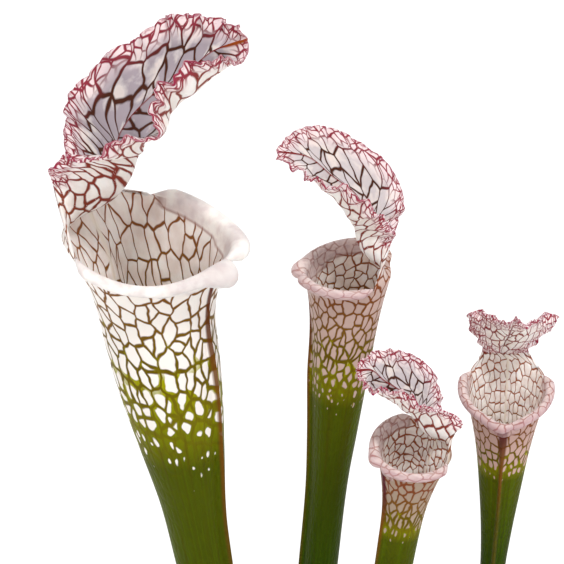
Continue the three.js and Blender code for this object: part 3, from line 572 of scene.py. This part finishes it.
class LeafSurface:
    """The middle surface of one leaf. Angles run round the tube from its back, where the midrib is."""

    def __init__(self, leaf):
        self.leaf = leaf
        self.foot, self.mouth, self.bow = (np.array(leaf[key], float) for key in ("foot", "mouth", "bow"))
        turn = math.radians(leaf["facing"])
        self.facing = np.array([math.sin(turn), -math.cos(turn), 0.0])
        self.length = np.linalg.norm(self.mouth - self.foot)
        starts = self.tube(1.0, np.array([0, BACK_ANGLE, -BACK_ANGLE]))
        self.midrib, self.left_edge, self.right_edge = (
            [(0, *start)] + [(knot[0], *(self.mouth + knot[1:])) for knot in leaf[key]]
            for start, key in zip(starts, ("midrib", "left_edge", "right_edge")))

    def axes(self, height):
        """The tube's middle line at a height, and the directions to its front and left there."""
        height = np.asarray(height, float)[..., None]
        low = self.leaf["bow_low"]
        swing = (1 - 2 * height) * (1 + low * (1 - 2 * height)) - 2 * low * height * (1 - height)
        up = unit((self.mouth - self.foot) + self.bow * 4 * swing)
        front = unit(self.facing - (up @ self.facing)[..., None] * up)
        bend = 4 * height * (1 - height) * (1 + low * (1 - 2 * height))
        centre = self.foot + (self.mouth - self.foot) * height + self.bow * bend
        return centre, front, np.cross(up, front)

    def tube(self, height, angle):
        """The tube's wall, at a share of its height that follows the slanted rim."""
        leaf = self.leaf
        height, angle = np.broadcast_arrays(np.asarray(height, float), np.asarray(angle, float))
        off = np.abs(angle)
        flared = ease((off - 0.25 * BACK_ANGLE) / (0.8 * BACK_ANGLE))
        beak_gap = np.abs((angle - leaf["beak_turn"]) % (2 * math.pi) - math.pi)
        beak = np.exp(-(beak_gap / leaf["beak_width"]) ** 2)
        dip = np.exp(-((math.pi - off) / (leaf["beak_width"] + 0.1)) ** 2)
        drop = leaf["front_drop"] * np.cos(angle) - leaf["side_drop"] * np.sin(angle)
        drop = drop - leaf["beak_drop"] * dip
        near_rim = np.clip((height - RIM_FROM) / (1 - RIM_FROM), 0, 1) ** 2
        flare = leaf["flare"] * flared + leaf["beak_out"] * beak + leaf["back_flare"] * (1 - flared)
        risen = ease((height - CREST_FROM) / (1 - CREST_FROM))
        crest = leaf["crest"] * np.exp(-(angle / CREST_ANGLE) ** 2) * risen
        radius = through(leaf["radii"], height) + near_rim * flare - crest
        oval = leaf["oval"] * ease(height * 1.3)
        centre, front, left = self.axes(height * (1 + drop / self.length))
        outward = (-np.cos(angle) * radius * (1 - oval))[..., None] * front
        return centre + outward + (np.sin(angle) * radius * (1 + oval))[..., None] * left

    def lip(self, angle, rows):
        """The rim rolled outwards, in steps. It is broad on one side of the beak and curls on the other."""
        leaf = self.leaf
        off = np.minimum(angle, 2 * math.pi - angle)
        signed = np.where(angle > math.pi, angle - 2 * math.pi, angle)
        place = self.tube(1.0, signed)
        upward = unit(place - self.tube(0.988, signed))
        _, front, left = self.axes(np.ones_like(angle))
        outward = -np.cos(angle)[:, None] * front + np.sin(angle)[:, None] * left
        outward = unit(outward - np.sum(outward * upward, 1, keepdims=True) * upward)
        broad = leaf["brim"] * ease((math.pi - 0.1 - angle) / 0.5)
        curl = leaf["curl"] * np.exp(-((angle - math.pi - 0.12) / 0.15) ** 2)
        notch = leaf["notch"] * np.exp(-((angle - math.pi + 0.14) / 0.1) ** 2)
        at_front = 1 + 0.3 * np.exp(-((math.pi - off) / 0.5) ** 2)
        size = leaf["lip"] * ease((off - BACK_ANGLE) / LIP_TAPER) * at_front * (1 + broad + curl - notch)
        roll = LIP_ROLL * (1 - 0.45 * broad)
        found = [place]
        for row in range(rows):
            share = (row + 0.5) / rows
            step = (roll / rows) * size * (1 - 0.45 * share)
            rolled = (share * roll)[:, None]
            place = place + step[:, None] * (np.cos(rolled) * upward + np.sin(rolled) * outward)
            found.append(place)
        return np.array(found)

    def sheet(self, place, side):
        """The lid without its frill, from its midrib (side 0) to its edges (side -1 and 1)."""
        place, side = np.broadcast_arrays(np.asarray(place, float), np.asarray(side, float))
        middle, left, right = (
            through(line, place) for line in (self.midrib, self.left_edge, self.right_edge))
        before, after = (
            through(self.midrib, np.clip(place + step, 0, 1)) for step in (-0.02, 0.02))
        inward = unit(np.cross(left - right, after - before))
        share = np.abs(side)
        edge = np.where((side > 0)[..., None], left, right)
        bulge = np.where(side > 0, *(through(self.leaf[key], place) for key in ("left_bulge", "right_bulge")))
        arch = share ** 0.8
        bulge = bulge * 4 * arch * (1 - arch)
        return middle + (edge - middle) * share[..., None] + inward * bulge[..., None]

    def lid(self, place, side):
        """The lid with its frill: a long wave, shorter ones nearer the edge, and scallops in the edge."""
        leaf, step, scallop_length = self.leaf, 0.01, 4.3
        place, side = np.broadcast_arrays(np.asarray(place, float), np.asarray(side, float))
        back, ahead = (self.sheet(np.clip(place + move, 0, 1), side) for move in (-step, step))
        right, left = (self.sheet(place, np.clip(side + move, -1, 1)) for move in (-step, step))
        across = left - right
        normal = unit(np.cross(ahead - back, across))
        share = np.abs(side)
        turns = place * leaf["edge"] / leaf["wave"]
        angle = 2 * np.pi * turns
        phase = np.where(side > 0, 0.4, 2.1)
        wave = np.sin(angle + phase + 0.9 * np.sin(1.7 * turns + 2 * phase))
        wave = wave + 0.42 * np.sin(angle / 0.41 + 2.3 * phase + 1) * share ** 2
        wave = wave + 0.2 * np.sin(angle / 0.2 + 4.1 * phase + 1.4 * np.sin(3.1 * turns)) * share ** 6
        scallops = np.pi * place * leaf["edge"] / scallop_length
        scallop = np.abs(np.sin(scallops + phase + 1.1 * np.sin(2.3 * turns + phase)))
        scallop = (scallop ** 0.6 - 1) * share ** 7
        height = leaf["frill"] * ease((place - 0.1) / 0.15) * (1 - 0.6 * ease((place - 0.86) / 0.14))
        points = self.sheet(place, side) + normal * (height * share ** 2.5 * wave)[..., None]
        points = points + unit(across) * (np.sign(side) * 0.45 * height * scallop)[..., None]
        seam = self.tube(1.0, side * BACK_ANGLE) - self.sheet(0.0, side)
        return points + seam * (1 - ease(place / 0.18))[..., None]


def leaf_angles():
    """Columns from the wing round by the back to the wing, close together at the lid's edges."""
    back = BACK_ANGLE * (1 - (1 - np.linspace(0, 1, BACK_COLUMNS + 1)) ** 1.25)
    front = BACK_ANGLE + (math.pi - BACK_ANGLE) * np.linspace(0, 1, 30)[1:]
    near_wing = math.pi - np.array([0.11, 0.075, 0.04, 0.018])
    half = np.unique(np.concatenate([back, front, near_wing]))
    return np.concatenate([-half[:0:-1], half])


def lip_share(leaf, off, below):
    """How much of the wall near the rim is the veinless band of the lip, widest at the front."""
    beak = np.exp(-((math.pi - off) / 0.8) ** 2)
    band = leaf["lip"] * (1.3 + 2.6 * beak)
    return (1 - ease((below - band) / (0.35 * leaf["lip"]))) * ease((off - BACK_ANGLE) / 0.25)


def leaf_sheets(leaf):
    """The tube, lip and lid as grids of points, of places in the vein net, and of marks at each point."""
    surface = LeafSurface(leaf)
    angles = leaf_angles()
    middle = len(angles) // 2
    on_lid = slice(middle - BACK_COLUMNS, middle + BACK_COLUMNS + 1)
    mouth_radius = through(leaf["radii"], 1.0)

    heights = (1 - (1 - np.linspace(0, 1, TUBE_ROWS + 1)) ** 1.3)[:, None]
    tube = surface.tube(heights, angles[None, :])
    off = np.abs(angles)[None, :]
    radius = through(leaf["radii"], heights)
    green_start, green_end = leaf["green"]
    below = (1 - heights) * surface.length
    tube_marks = dict(green=(green_start - tube[..., 2]) / (green_start - green_end), margin=FAR_INSIDE,
                      lip=lip_share(leaf, off, below), rib=off * radius,
                      wing=(math.pi - off) * radius, lid=0.0)
    tube_net = (angles[None, :] * mouth_radius / leaf["cell"], -below / leaf["cell"])

    left_side, right_side = slice(middle + BACK_COLUMNS, None), slice(1, middle - BACK_COLUMNS + 1)
    round_angles = np.concatenate([angles[left_side], 2 * math.pi + angles[right_side]])
    lip = surface.lip(round_angles, LIP_ROWS)
    row = np.arange(LIP_ROWS + 1)[:, None]
    lip_marks = dict(green=-1.0, margin=FAR_INSIDE, lip=1 + row / LIP_ROWS, rib=FAR_OFF, wing=FAR_OFF,
                     lid=0.0)
    rolled = row * 0.4 * leaf["lip"]
    lip_net = (round_angles[None, :] * mouth_radius / leaf["cell"], rolled / leaf["cell"])

    places = np.linspace(0, 1, leaf["rows"] + 1)[:, None]
    sides = angles[None, on_lid] / BACK_ANGLE
    lid = surface.lid(places, sides)
    lid[0] = tube[-1, on_lid]
    smooth = surface.sheet(places, sides)
    reach = np.cumsum(np.linalg.norm(np.diff(smooth, axis=1, prepend=smooth[:, :1]), axis=2), axis=1)
    reach = reach - reach[:, BACK_COLUMNS:BACK_COLUMNS + 1]
    width = np.where(sides > 0, reach[:, -1:], -reach[:, :1])
    ribs = smooth[:, BACK_COLUMNS]
    cell = leaf["cell"] + (leaf["lid_cell"] - leaf["cell"]) * ease(places / 0.25)
    run = np.cumsum(np.linalg.norm(np.diff(ribs, axis=0, prepend=ribs[:1]), axis=1))[:, None]
    ladder = 1 + leaf["ladder"] * (1 - ease((places - 0.1) / 0.22))
    run_cells = np.cumsum(np.diff(run, axis=0, prepend=0) / cell * ladder, axis=0)
    across = angles[None, on_lid] * mouth_radius
    across = np.abs(across + (reach - across) * ease(places / 0.2)) / cell
    slant = math.radians(leaf["slant"]) * ease(places / 0.35)
    turned = across * np.cos(slant) - run_cells * np.sin(slant)
    along = across * np.sin(slant) + run_cells * np.cos(slant)
    edge_gap = np.minimum(width - np.abs(reach), (1 - places) * leaf["edge"] * 0.75)
    margin = FAR_INSIDE + (1 - edge_gap / leaf["margin"] - FAR_INSIDE) * ease((places - 0.02) / 0.1)
    lid_marks = dict(green=-1.0, margin=margin, lip=0.0, rib=np.abs(reach), wing=FAR_OFF,
                     lid=ease(places / 0.12) + ease((places - 0.82) / 0.12))

    tube_ids = np.arange(tube[:, 1:, 0].size).reshape(tube.shape[0], -1)
    tube_ids = np.concatenate([tube_ids[:, -1:], tube_ids], axis=1)
    count = tube_ids.max() + 1
    ring = np.concatenate([tube_ids[-1, left_side], tube_ids[-1, right_side]])
    inner_columns = len(ring) - 2
    lip_ids = count + np.arange(LIP_ROWS * inner_columns).reshape(LIP_ROWS, -1)
    ends = np.ones((LIP_ROWS, 1), int)
    lip_ids = np.concatenate([ends * ring[0], lip_ids, ends * ring[-1]], axis=1)
    lip_ids = np.concatenate([ring[None, :], lip_ids])
    count = lip_ids.max() + 1
    lid_ids = count + np.arange(lid[1:, :, 0].size).reshape(lid.shape[0] - 1, -1)
    lid_ids = np.concatenate([tube_ids[-1:, on_lid], lid_ids])

    points = np.concatenate([part.reshape(-1, 3) for part in (tube[:, 1:], lip[1:, 1:-1], lid[1:])])
    marks = []
    for key in MARKS:
        parts = [np.broadcast_to(tube_marks[key], tube.shape[:2])[:, 1:],
                 np.broadcast_to(lip_marks[key], lip.shape[:2])[1:, 1:-1],
                 np.broadcast_to(lid_marks[key], lid.shape[:2])[1:]]
        marks.append(np.concatenate([part.ravel() for part in parts]))
    halves = [(lid_ids[:, half], (sign * turned[:, half], along[:, half]))
              for half, sign in ((slice(BACK_COLUMNS + 1), -1), (slice(BACK_COLUMNS, None), 1))]
    return points, np.array(marks), [(tube_ids, tube_net), (lip_ids, lip_net), *halves]


def leaf_faces(sheets):
    """The faces of the grids, each with its distinct corners and their places in the vein net."""
    faces, corners_in_net = [], []
    for ids, net in sheets:
        grid = np.dstack([ids] + [np.broadcast_to(part, ids.shape) for part in net])
        squares = np.stack([grid[:-1, :-1], grid[1:, :-1], grid[1:, 1:], grid[:-1, 1:]], axis=2)
        for square in squares.reshape(-1, 4, 3).tolist():
            corners = [corner for n, corner in enumerate(square) if corner[0] != square[n - 1][0]]
            faces.append([int(corner[0]) for corner in corners])
            corners_in_net.append([corner[1:] for corner in corners])
    return faces, corners_in_net


def thick_leaf(name, leaf):
    """The leaf's shell: its middle surface, with half the wall outwards and half inwards."""
    points, marks, sheets = leaf_sheets(leaf)
    middle_faces, middle_net = leaf_faces(sheets)
    normals = np.zeros_like(points)
    squares = np.array([face if len(face) == 4 else face + face[-1:] for face in middle_faces]).T
    a, b, c, d = points[squares]
    for corner in squares:
        np.add.at(normals, corner, np.cross(c - a, d - b))
    normals = unit(normals)
    mark = dict(zip(MARKS, marks))
    count = len(points)
    half = 0.5 * leaf["thickness"] * (1 - MARGIN_THINNING * np.clip(mark["margin"], 0, 1))[:, None]
    rise = (points[:, 2] - FOOT_HEIGHT) / (leaf["mouth"][2] - FOOT_HEIGHT)
    wing = leaf["wing"] * ease(rise / 0.2) * ease((0.99 - rise) / 0.12)
    wing = wing * np.exp(-(mark["wing"] / WING_HALF_WIDTH) ** 2)
    shell = np.concatenate([points + normals * (half + wing[:, None]), points - normals * half])
    faces = middle_faces + [[count + i for i in reversed(face)] for face in middle_faces]
    net = middle_net + [list(reversed(places)) for places in middle_net]
    borders = {}
    for face, places in zip(middle_faces, middle_net):
        for n in range(len(face)):
            borders[(face[n - 1], face[n])] = (places[n - 1], places[n])
    for (start, end), (start_net, end_net) in borders.items():
        if (end, start) not in borders:
            faces.append([end, start, count + start, count + end])
            net.append([end_net, start_net, start_net, end_net])
    piece = piece_from("leaf_" + name, np.clip(shell * MM, *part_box(name)), faces)
    mesh = piece.data
    layer = mesh.uv_layers.new(name="vein_net")
    layer.data.foreach_set("uv", np.array([value for places in net for place in places for value in place],
                                          np.float32))
    point_marks = {key: np.tile(mark[key], 2) for key in MARKS}
    point_marks["inside"] = np.repeat([0.0, 1.0], count)
    for key, values in point_marks.items():
        layer = mesh.attributes.new("leaf_" + key, "FLOAT", "POINT")
        layer.data.foreach_set("value", values.astype(np.float32))
    only(piece)
    bpy.ops.object.shade_smooth()
    return piece


def mesh_veins(add, leaf, mark, net, lilt):
    """The veins: a net of even lines with rounded corners, and a finer net that joins it all along the
    lid's margin. Gives both nets, the main net, the gap from its lines, and that from a mesh's middle."""
    sway = add("TexNoise", net, 0.75, 1.0, output="Color", noise_dimensions="2D")
    sway = add("VectorMath", sway, (0.5, 0.5, 0.5), operation="SUBTRACT")
    sway = add("VectorMath", sway, 0.55, operation="SCALE")
    swayed = add("VectorMath", net, sway, operation="ADD")
    gaps, middles = [], []
    for scale, stretch in ((1.0, 0.62), (2.3, 0.7)):
        meshes = add("Mapping", swayed, Scale=(scale, scale * stretch, 1.0))
        near, far, edge = (
            add("TexVoronoi", meshes, 1.0, voronoi_dimensions="2D", feature=feature, Randomness=leaf["loose"])
            for feature in ("F1", "F2", "DISTANCE_TO_EDGE"))
        rounded = add("Math", far, near, operation="SUBTRACT")
        rounded = add("Math", rounded, 0.3, operation="MULTIPLY")
        gaps.append(add("Math", edge, 1.4, rounded, operation="MULTIPLY_ADD"))
        middles.append(near)

    width = add("MapRange", mark.lid, 0.0, 1.0, leaf["vein"], leaf["lid_vein"])
    width_inside = add("MapRange", mark.lid, 0.0, 0.8, 0.75, 1.25)
    for place, first, last, at_first, at_last in (
            (lilt, 0.3, 0.7, 0.85, 1.15), (mark.margin, -4.0, 0.6, 1.25, 0.6),
            (mark.inside, 0.0, 1.0, 1.0, width_inside), (mark.green, -0.8, 0.8, 1.0, 1.8)):
        share = add("MapRange", place, first, last, at_first, at_last)
        width = add("Math", width, share, operation="MULTIPLY")
    veins = []
    for gap, thicker in zip(gaps, (1.0, 1.9)):
        core, rim = (add("Math", width, part * thicker, operation="MULTIPLY") for part in (0.5, 1.4))
        veins.append(add("MapRange", gap, core, rim, 1.0, 0.0, interpolation_type="SMOOTHSTEP"))
    closing_up = add("MapRange", mark.margin, -0.6, 0.2)
    fine_vein = add("Math", veins[1], closing_up, operation="MULTIPLY")
    vein = add("Math", veins[0], fine_vein, operation="MAXIMUM")
    return vein, veins[0], gaps[0], middles[0]


def net_colour(add, leaf, mark, net, vein):
    """The panes are white, with a pink flush outside the tube; there the small leaf's darker tone is partly
    painted shade. On the lid's upper face painted shade greys them to mauve grey, broken by painted light in
    pale patches, more of them nearer the margin. The veins are brown on the tube and lighter in the throat as
    painted light, red on the lid's inner face and dark maroon on its upper face, partly painted shade,
    crimson at its margin, and olive near the green."""
    mottled = add("TexNoise", net, 0.7, 4.0, noise_dimensions="2D")
    mottled = add("MapRange", mottled, 0.35, 0.7)
    outside = add("Math", 1.0, mark.inside, operation="SUBTRACT")
    upper = add("Math", outside, mark.lid, operation="MULTIPLY", use_clamp=True)
    # The panes outside the tube take the leaf's pane colour, a pink flush; the small leaf's darker tone is
    # partly painted shade.
    flush_and_shade = add("MapRange", mark.lid, 0.0, 0.6, 1.0, 0.0)
    flush_and_shade = add("Math", outside, flush_and_shade, operation="MULTIPLY")
    # Painted shade: the panes on the lid's upper face are greyed to mauve grey, and painted light leaves pale
    # patches in it, more of them nearer the margin.
    lit = add("MapRange", mark.margin, -3.0, 0.2, -0.15, 0.3)
    lit = add("Math", mottled, lit, operation="ADD")
    shade = add("MapRange", lit, 0.45, 0.95, 1.0, 0.2)
    for share in (upper, leaf["painted_lid_shade"]):
        shade = add("Math", shade, share, operation="MULTIPLY")
    at_margin = add("MapRange", mark.margin, -1.0, 0.5, 0.0, 0.8)
    pane = add("Mix", mottled, "#f7f1ed", "#e6dbd4")
    for share, tint in ((flush_and_shade, leaf["pane"]), (shade, "#a99da4"), (at_margin, "#f3dfe1")):
        pane = add("Mix", share, pane, tint)

    crimson = add("MapRange", mark.margin, -1.0, 0.4, 0.0, 0.9)
    # Painted light: the veins in the throat are lighter, standing in for light through the thin wall.
    throat_glow = add("MapRange", mark.lid, 0.0, 0.6, 0.4, 0.0)
    throat_glow = add("Math", throat_glow, mark.inside, operation="MULTIPLY")
    olive = add("MapRange", mark.green, -1.2, 0.0)
    greener = add("MapRange", mark.green, -0.2, 0.6, 0.0, 0.8)
    # Painted shade in part: the veins on the lid's upper face are dark maroon, on its inner face red.
    vein_colour = add("Mix", mark.lid, "#834629", add("Mix", upper, "#8a3434", "#3f0f1d"))
    for share, tint in ((crimson, "#9c2c4c"), (throat_glow, "#b8714e"), (olive, "#70560c"),
                        (greener, "#86860a")):
        vein_colour = add("Mix", share, vein_colour, tint)
    return add("Mix", vein, pane, vein_colour)


def green_below(add, mark, net, lines, main_vein, middle, colour):
    """Lower down the green closes in round the panes, which shrink to ovals and dots and are gone. Its
    lines run lengthwise, and the veins show through at first."""
    uneven = add("TexNoise", net, 0.6, 2.0, noise_dimensions="2D")
    uneven = add("MapRange", uneven, 0.25, 0.75, -0.25, 0.25)
    depth = add("Math", mark.green, uneven, operation="ADD")
    chance = add("MapRange", middle.node.outputs["Color"], 0.0, 1.0, -0.17, 0.17)
    oval = add("MapRange", depth, -0.3, 1.35, 0.85, -0.25)
    oval = add("Math", oval, chance, operation="ADD")
    oval_edge = add("Math", oval, 0.07, operation="ADD")
    closed = add("MapRange", middle, oval, oval_edge)
    closed = add("Math", closed, add("MapRange", depth, -0.3, 0.25), operation="MULTIPLY")
    leaf_green = "#aca80a"
    for place, first, last, at_first, at_last, tint in (
            (mark.green, 0.0, 1.0, 0.0, 1.0, "#4a5200"), (mark.green, 1.2, 4.0, 0.0, 1.0, "#2b4000"),
            (lines, 0.52, 0.72, 0.0, 0.4, "#4a3802"), (lines, 0.3, 0.48, 0.25, 0.0, "#587002")):
        leaf_green = add("Mix", add("MapRange", place, first, last, at_first, at_last), leaf_green, tint)
    colour = add("Mix", closed, colour, leaf_green)
    trace = main_vein
    for limits in ((0.2, 1.1, 0.85, 0.0), (-0.3, 0.1, 0.0, 1.0)):
        trace = add("Math", trace, add("MapRange", mark.green, *limits), operation="MULTIPLY")
    return add("Mix", trace, colour, "#5f4a06")


def wing_and_ribs(add, leaf, mark, colour):
    """The wing is dark red at the top and rusty below. A red rib runs up the lid and is orange at its
    tip, and a pale ridge stands in the throat behind it."""
    wing_colour = "#571521"
    for limits, tint in (((-1.0, 0.2), "#6f4510"), ((0.8, 2.5), "#4d460a")):
        wing_colour = add("Mix", add("MapRange", mark.green, *limits), wing_colour, tint)
    wing_side = add("MapRange", mark.green, -0.5, 0.5, 1.25, 0.6)
    wing_core = add("Math", wing_side, 0.55, operation="MULTIPLY")
    on_wing = add("MapRange", mark.wing, wing_core, wing_side, 0.95, 0.0)

    rusty = add("MapRange", mark.lid, 1.5, 2.0, 0.0, max(0.0, 1 - 2 * leaf["blush"]))
    rib_edge = add("MapRange", rusty, 0.0, 1.0, 0.5, 1.2)
    on_rib = add("MapRange", mark.rib, 0.15, rib_edge, 0.85, 0.0)
    on_rib = add("Math", on_rib, mark.lid, operation="MULTIPLY", use_clamp=True)
    rib_colour = add("Mix", rusty, "#7a2226", "#93451c")

    ridge = add("MapRange", mark.rib, 0.12 * leaf["crest"], 0.25 * leaf["crest"], 0.9, 0.0)
    for share in (mark.inside, add("MapRange", mark.lid, 0.2, 0.6, 1.0, 0.0)):
        ridge = add("Math", ridge, share, operation="MULTIPLY")
    for share, tint in ((on_wing, wing_colour), (on_rib, rib_colour), (ridge, "#efe6da")):
        colour = add("Mix", share, colour, tint)
    return colour


def lip_over(add, leaf, mark, net, lilt, on_lip, colour):
    """The lip is ivory without veins, greyed in broad patches as painted shade, with a mauve flush in streaks
    and on its roll, and a brown line along its border."""
    blush = leaf["blush"] ** 0.5
    streaks = add("TexNoise", net, 1.6, 3.0, noise_dimensions="2D")
    streaks = add("MapRange", streaks, 0.42, 0.68, 0.0, 0.15 + 0.6 * leaf["blush"])
    # Painted shade: broad patches of the lip are greyer, scattered by noise.
    lip_colour = add("Mix", add("MapRange", lilt, 0.4, 0.6), "#f7f2ed", "#e2dad7")
    for share, tint in ((0.85 * blush, "#c09a98"), (streaks, "#94606c")):
        lip_colour = add("Mix", share, lip_colour, tint)
    cover = add("Math", on_lip, 1 - 0.5 * blush, operation="MULTIPLY")
    roll = add("MapRange", mark.lip, 1.3, 1.65, 0.0, 0.5 * blush)
    border = add("MapRange", mark.lip, 0.05, 0.4, 0.0, 0.6)
    for share in (add("MapRange", mark.lip, 0.5, 0.95, 1.0, 0.0), mark.inside):
        border = add("Math", border, share, operation="MULTIPLY")
    for share, tint in ((cover, lip_colour), (roll, "#a9747e"), (border, "#96604f")):
        colour = add("Mix", share, colour, tint)
    return colour


def dress_leaf(pitcher, name, leaf):
    """Living leaf tissue: a satin, slightly translucent skin, pale panes between red-brown veins."""
    tissue, add = new_material("leaf_tissue_" + name, Roughness=0.45, Specular_IOR_Level=0.04,
                               Subsurface_Weight=0.5, Subsurface_Scale=1.0 * MM,
                               Subsurface_Radius=(1.0, 0.85, 0.75))
    mark = SimpleNamespace(**{
        key: add("Attribute", output="Fac", attribute_name="leaf_" + key) for key in MARKS + ("inside",)})
    across, along = leaf["throat"]
    along = add("MapRange", mark.lid, 0.0, 1.0, along, 1.0)
    throat = [add("MapRange", mark.inside, 0.0, 1.0, 1.0, part) for part in (across, along)]
    throat = add("CombineXYZ", *throat)
    net = add("VectorMath", add("UVMap", uv_map="vein_net"), throat, operation="MULTIPLY")
    lilt = add("TexNoise", net, 0.4, 2.0, noise_dimensions="2D")
    line_place = add("Mapping", net, Scale=(0.95 * leaf["cell"], 0.012 * leaf["cell"], 1.0))
    lines = add("TexNoise", line_place, 1.0, 3.0, 0.6, noise_dimensions="2D")
    vein, main_vein, main_gap, middle = mesh_veins(add, leaf, mark, net, lilt)
    colour = net_colour(add, leaf, mark, net, vein)
    colour = green_below(add, mark, net, lines, main_vein, middle, colour)
    colour = wing_and_ribs(add, leaf, mark, colour)

    # The very edge of the frill is crimson, in fine blotches.
    blots = add("TexNoise", net, 3.2, 3.0, noise_dimensions="2D")
    blotched = add("MapRange", blots, 0.3, 0.7, -0.3, 0.3)
    blotched = add("Math", mark.margin, blotched, operation="ADD")
    colour = add("Mix", add("MapRange", blotched, 0.8, 1.15, 0.0, 0.8), colour, "#93284a")

    lip_inside = add("Math", mark.lip, mark.inside, operation="MULTIPLY", use_clamp=True)
    on_lip = add("Math", lip_inside, add("MapRange", mark.lip, 0.9, 1.0), operation="MAXIMUM")
    colour = lip_over(add, leaf, mark, net, lilt, on_lip, colour)

    # The panes are puffed up between the veins, and the green has fine lines. The lip is smoother.
    puffed = add("MapRange", main_gap, 0.0, 0.5)
    skin = add("TexNoise", net, 14.0, 3.0, noise_dimensions="2D")
    relief = add("Math", skin, 0.2, puffed, operation="MULTIPLY_ADD")
    relief = add("Math", lines, 0.4, relief, operation="MULTIPLY_ADD")
    relief = add("Math", relief, add("MapRange", on_lip, 0.0, 1.0, 1.0, 0.15), operation="MULTIPLY")
    dress(pitcher, tissue, Base_Color=colour, Normal=add("Bump", 0.5, 0.3 * MM, Height=relief))


pitchers = {}
for name, leaf in LEAVES.items():
    pitchers[name] = thick_leaf(name, leaf)
    dress_leaf(pitchers[name], name, leaf)
    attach(pitchers[name], "root")
    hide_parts(name)

# ---- Lid hairs ----
# Short stiff hairs on the inner face of every lid, which point back to the mouth and lead insects
# down. Each is a thin three-sided needle with its foot in the wall.

HAIR_LENGTHS = (0.6 * MM, 1.1 * MM)
HAIR_RADIUS = 0.045 * MM
HAIR_SINK = 0.1 * MM
HAIRS_PER_EDGE = 8  # for each millimetre of a lid's edge
hair_chance = random.Random(31)
points, polygons = [], []
for name, pitcher in pitchers.items():
    leaf, mesh = LEAVES[name], pitcher.data
    lid, inside, margin = ([value.value for value in mesh.attributes["leaf_" + key].data]
                           for key in ("lid", "inside", "margin"))
    inner = [face for face in mesh.polygons
             if all(inside[i] == 1 and lid[i] > 0.6 and margin[i] < 0.8 for i in face.vertices)]
    throat = Vector(leaf["mouth"]) * MM
    hairs_here = int(leaf["edge"] * HAIRS_PER_EDGE)
    for face in hair_chance.choices(inner, [face.area for face in inner], k=hairs_here):
        corners = [mesh.vertices[i].co for i in face.vertices]
        shares = [hair_chance.random() + 0.05 for _ in corners]
        foot = sum((corner * share for corner, share in zip(corners, shares)), Vector()) / sum(shares)
        back = (throat - foot).normalized()
        back = (back - face.normal * back.dot(face.normal)).normalized()
        reach = (face.normal * 0.5 + back).normalized() * hair_chance.uniform(*HAIR_LENGTHS)
        side = reach.orthogonal().normalized() * HAIR_RADIUS
        start = len(points)
        foot = foot - face.normal * HAIR_SINK
        for k in range(3):
            points.append(foot + Matrix.Rotation(2 * math.pi * k / 3, 3, reach) @ side)
        points.append(foot + reach)
        faces = [(0, 1, 3), (1, 2, 3), (2, 0, 3), (2, 1, 0)]
        polygons.extend(tuple(start + k for k in face) for face in faces)
hairs = piece_from("lid_hairs", np.clip(points, *cad_box), polygons)

# Glassy white bristle, faintly pink in places.
bristle, add = new_material("hair_bristle", Roughness=0.35,
                            Subsurface_Weight=0.3, Subsurface_Scale=0.2 * MM)
place = add("TexCoord", output="Object")
tint = add("TexNoise", place, 1 / (2 * MM), 2.0)
dress(hairs, bristle, Base_Color=add("Mix", tint, "#f7f2ee", "#e9cfcb"))
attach(hairs, "root")

# ---- Floor, light and camera ----
# A plain white floor and an even white sky, with one soft sun from the left front, as in daylight.

FLOOR_SIZE = 60  # metres, so that its edges are out of sight
bpy.ops.mesh.primitive_plane_add(size=FLOOR_SIZE)
floor = bpy.context.object
floor.name = "floor"
paper, add = new_material("white_floor", Roughness=0.9, Specular_IOR_Level=0.1)
place = add("TexCoord", output="Object")
dust = add("TexNoise", place, 3.0, 2.0)
dress(floor, paper, Base_Color=add("Mix", dust, "#ffffff", "#fbfbfb"))

world = bpy.data.worlds.new("daylight")
bpy.context.scene.world = world
world.use_nodes = True
sky = world.node_tree.nodes["Background"]
sky.inputs["Color"].default_value = linear("#ffffff")
sky.inputs["Strength"].default_value = 0.75

sun_data = bpy.data.lights.new("sun", "SUN")
sun_data.energy = 1.7
sun_data.angle = math.radians(9)
sun = bpy.data.objects.new("sun", sun_data)
sun.rotation_euler = Vector((0.15, -0.6, 1.0)).to_track_quat("Z", "Y").to_euler()
bpy.context.scene.collection.objects.link(sun)

VIEW_TARGET = Vector((-5.45, 0.0, 380.0)) * MM
VIEW_ELEVATION = math.radians(22)
VIEW_DISTANCE = 900 * MM
PHOTO_WIDTH = 564  # pixels
PHOTO_SCALE = 3.3  # pixels per millimetre at the target
VIEW_WIDTH = PHOTO_WIDTH / PHOTO_SCALE * MM
camera_data = bpy.data.cameras.new("camera")
camera_data.lens = camera_data.sensor_width * VIEW_DISTANCE / VIEW_WIDTH
camera = bpy.data.objects.new("camera", camera_data)
back = Vector((0, -math.cos(VIEW_ELEVATION), math.sin(VIEW_ELEVATION)))
camera.location = VIEW_TARGET + back * VIEW_DISTANCE
camera.rotation_euler = back.to_track_quat("Z", "Y").to_euler()
bpy.context.scene.collection.objects.link(camera)
bpy.context.scene.camera = camera
bpy.context.scene.view_settings.view_transform = "Standard"
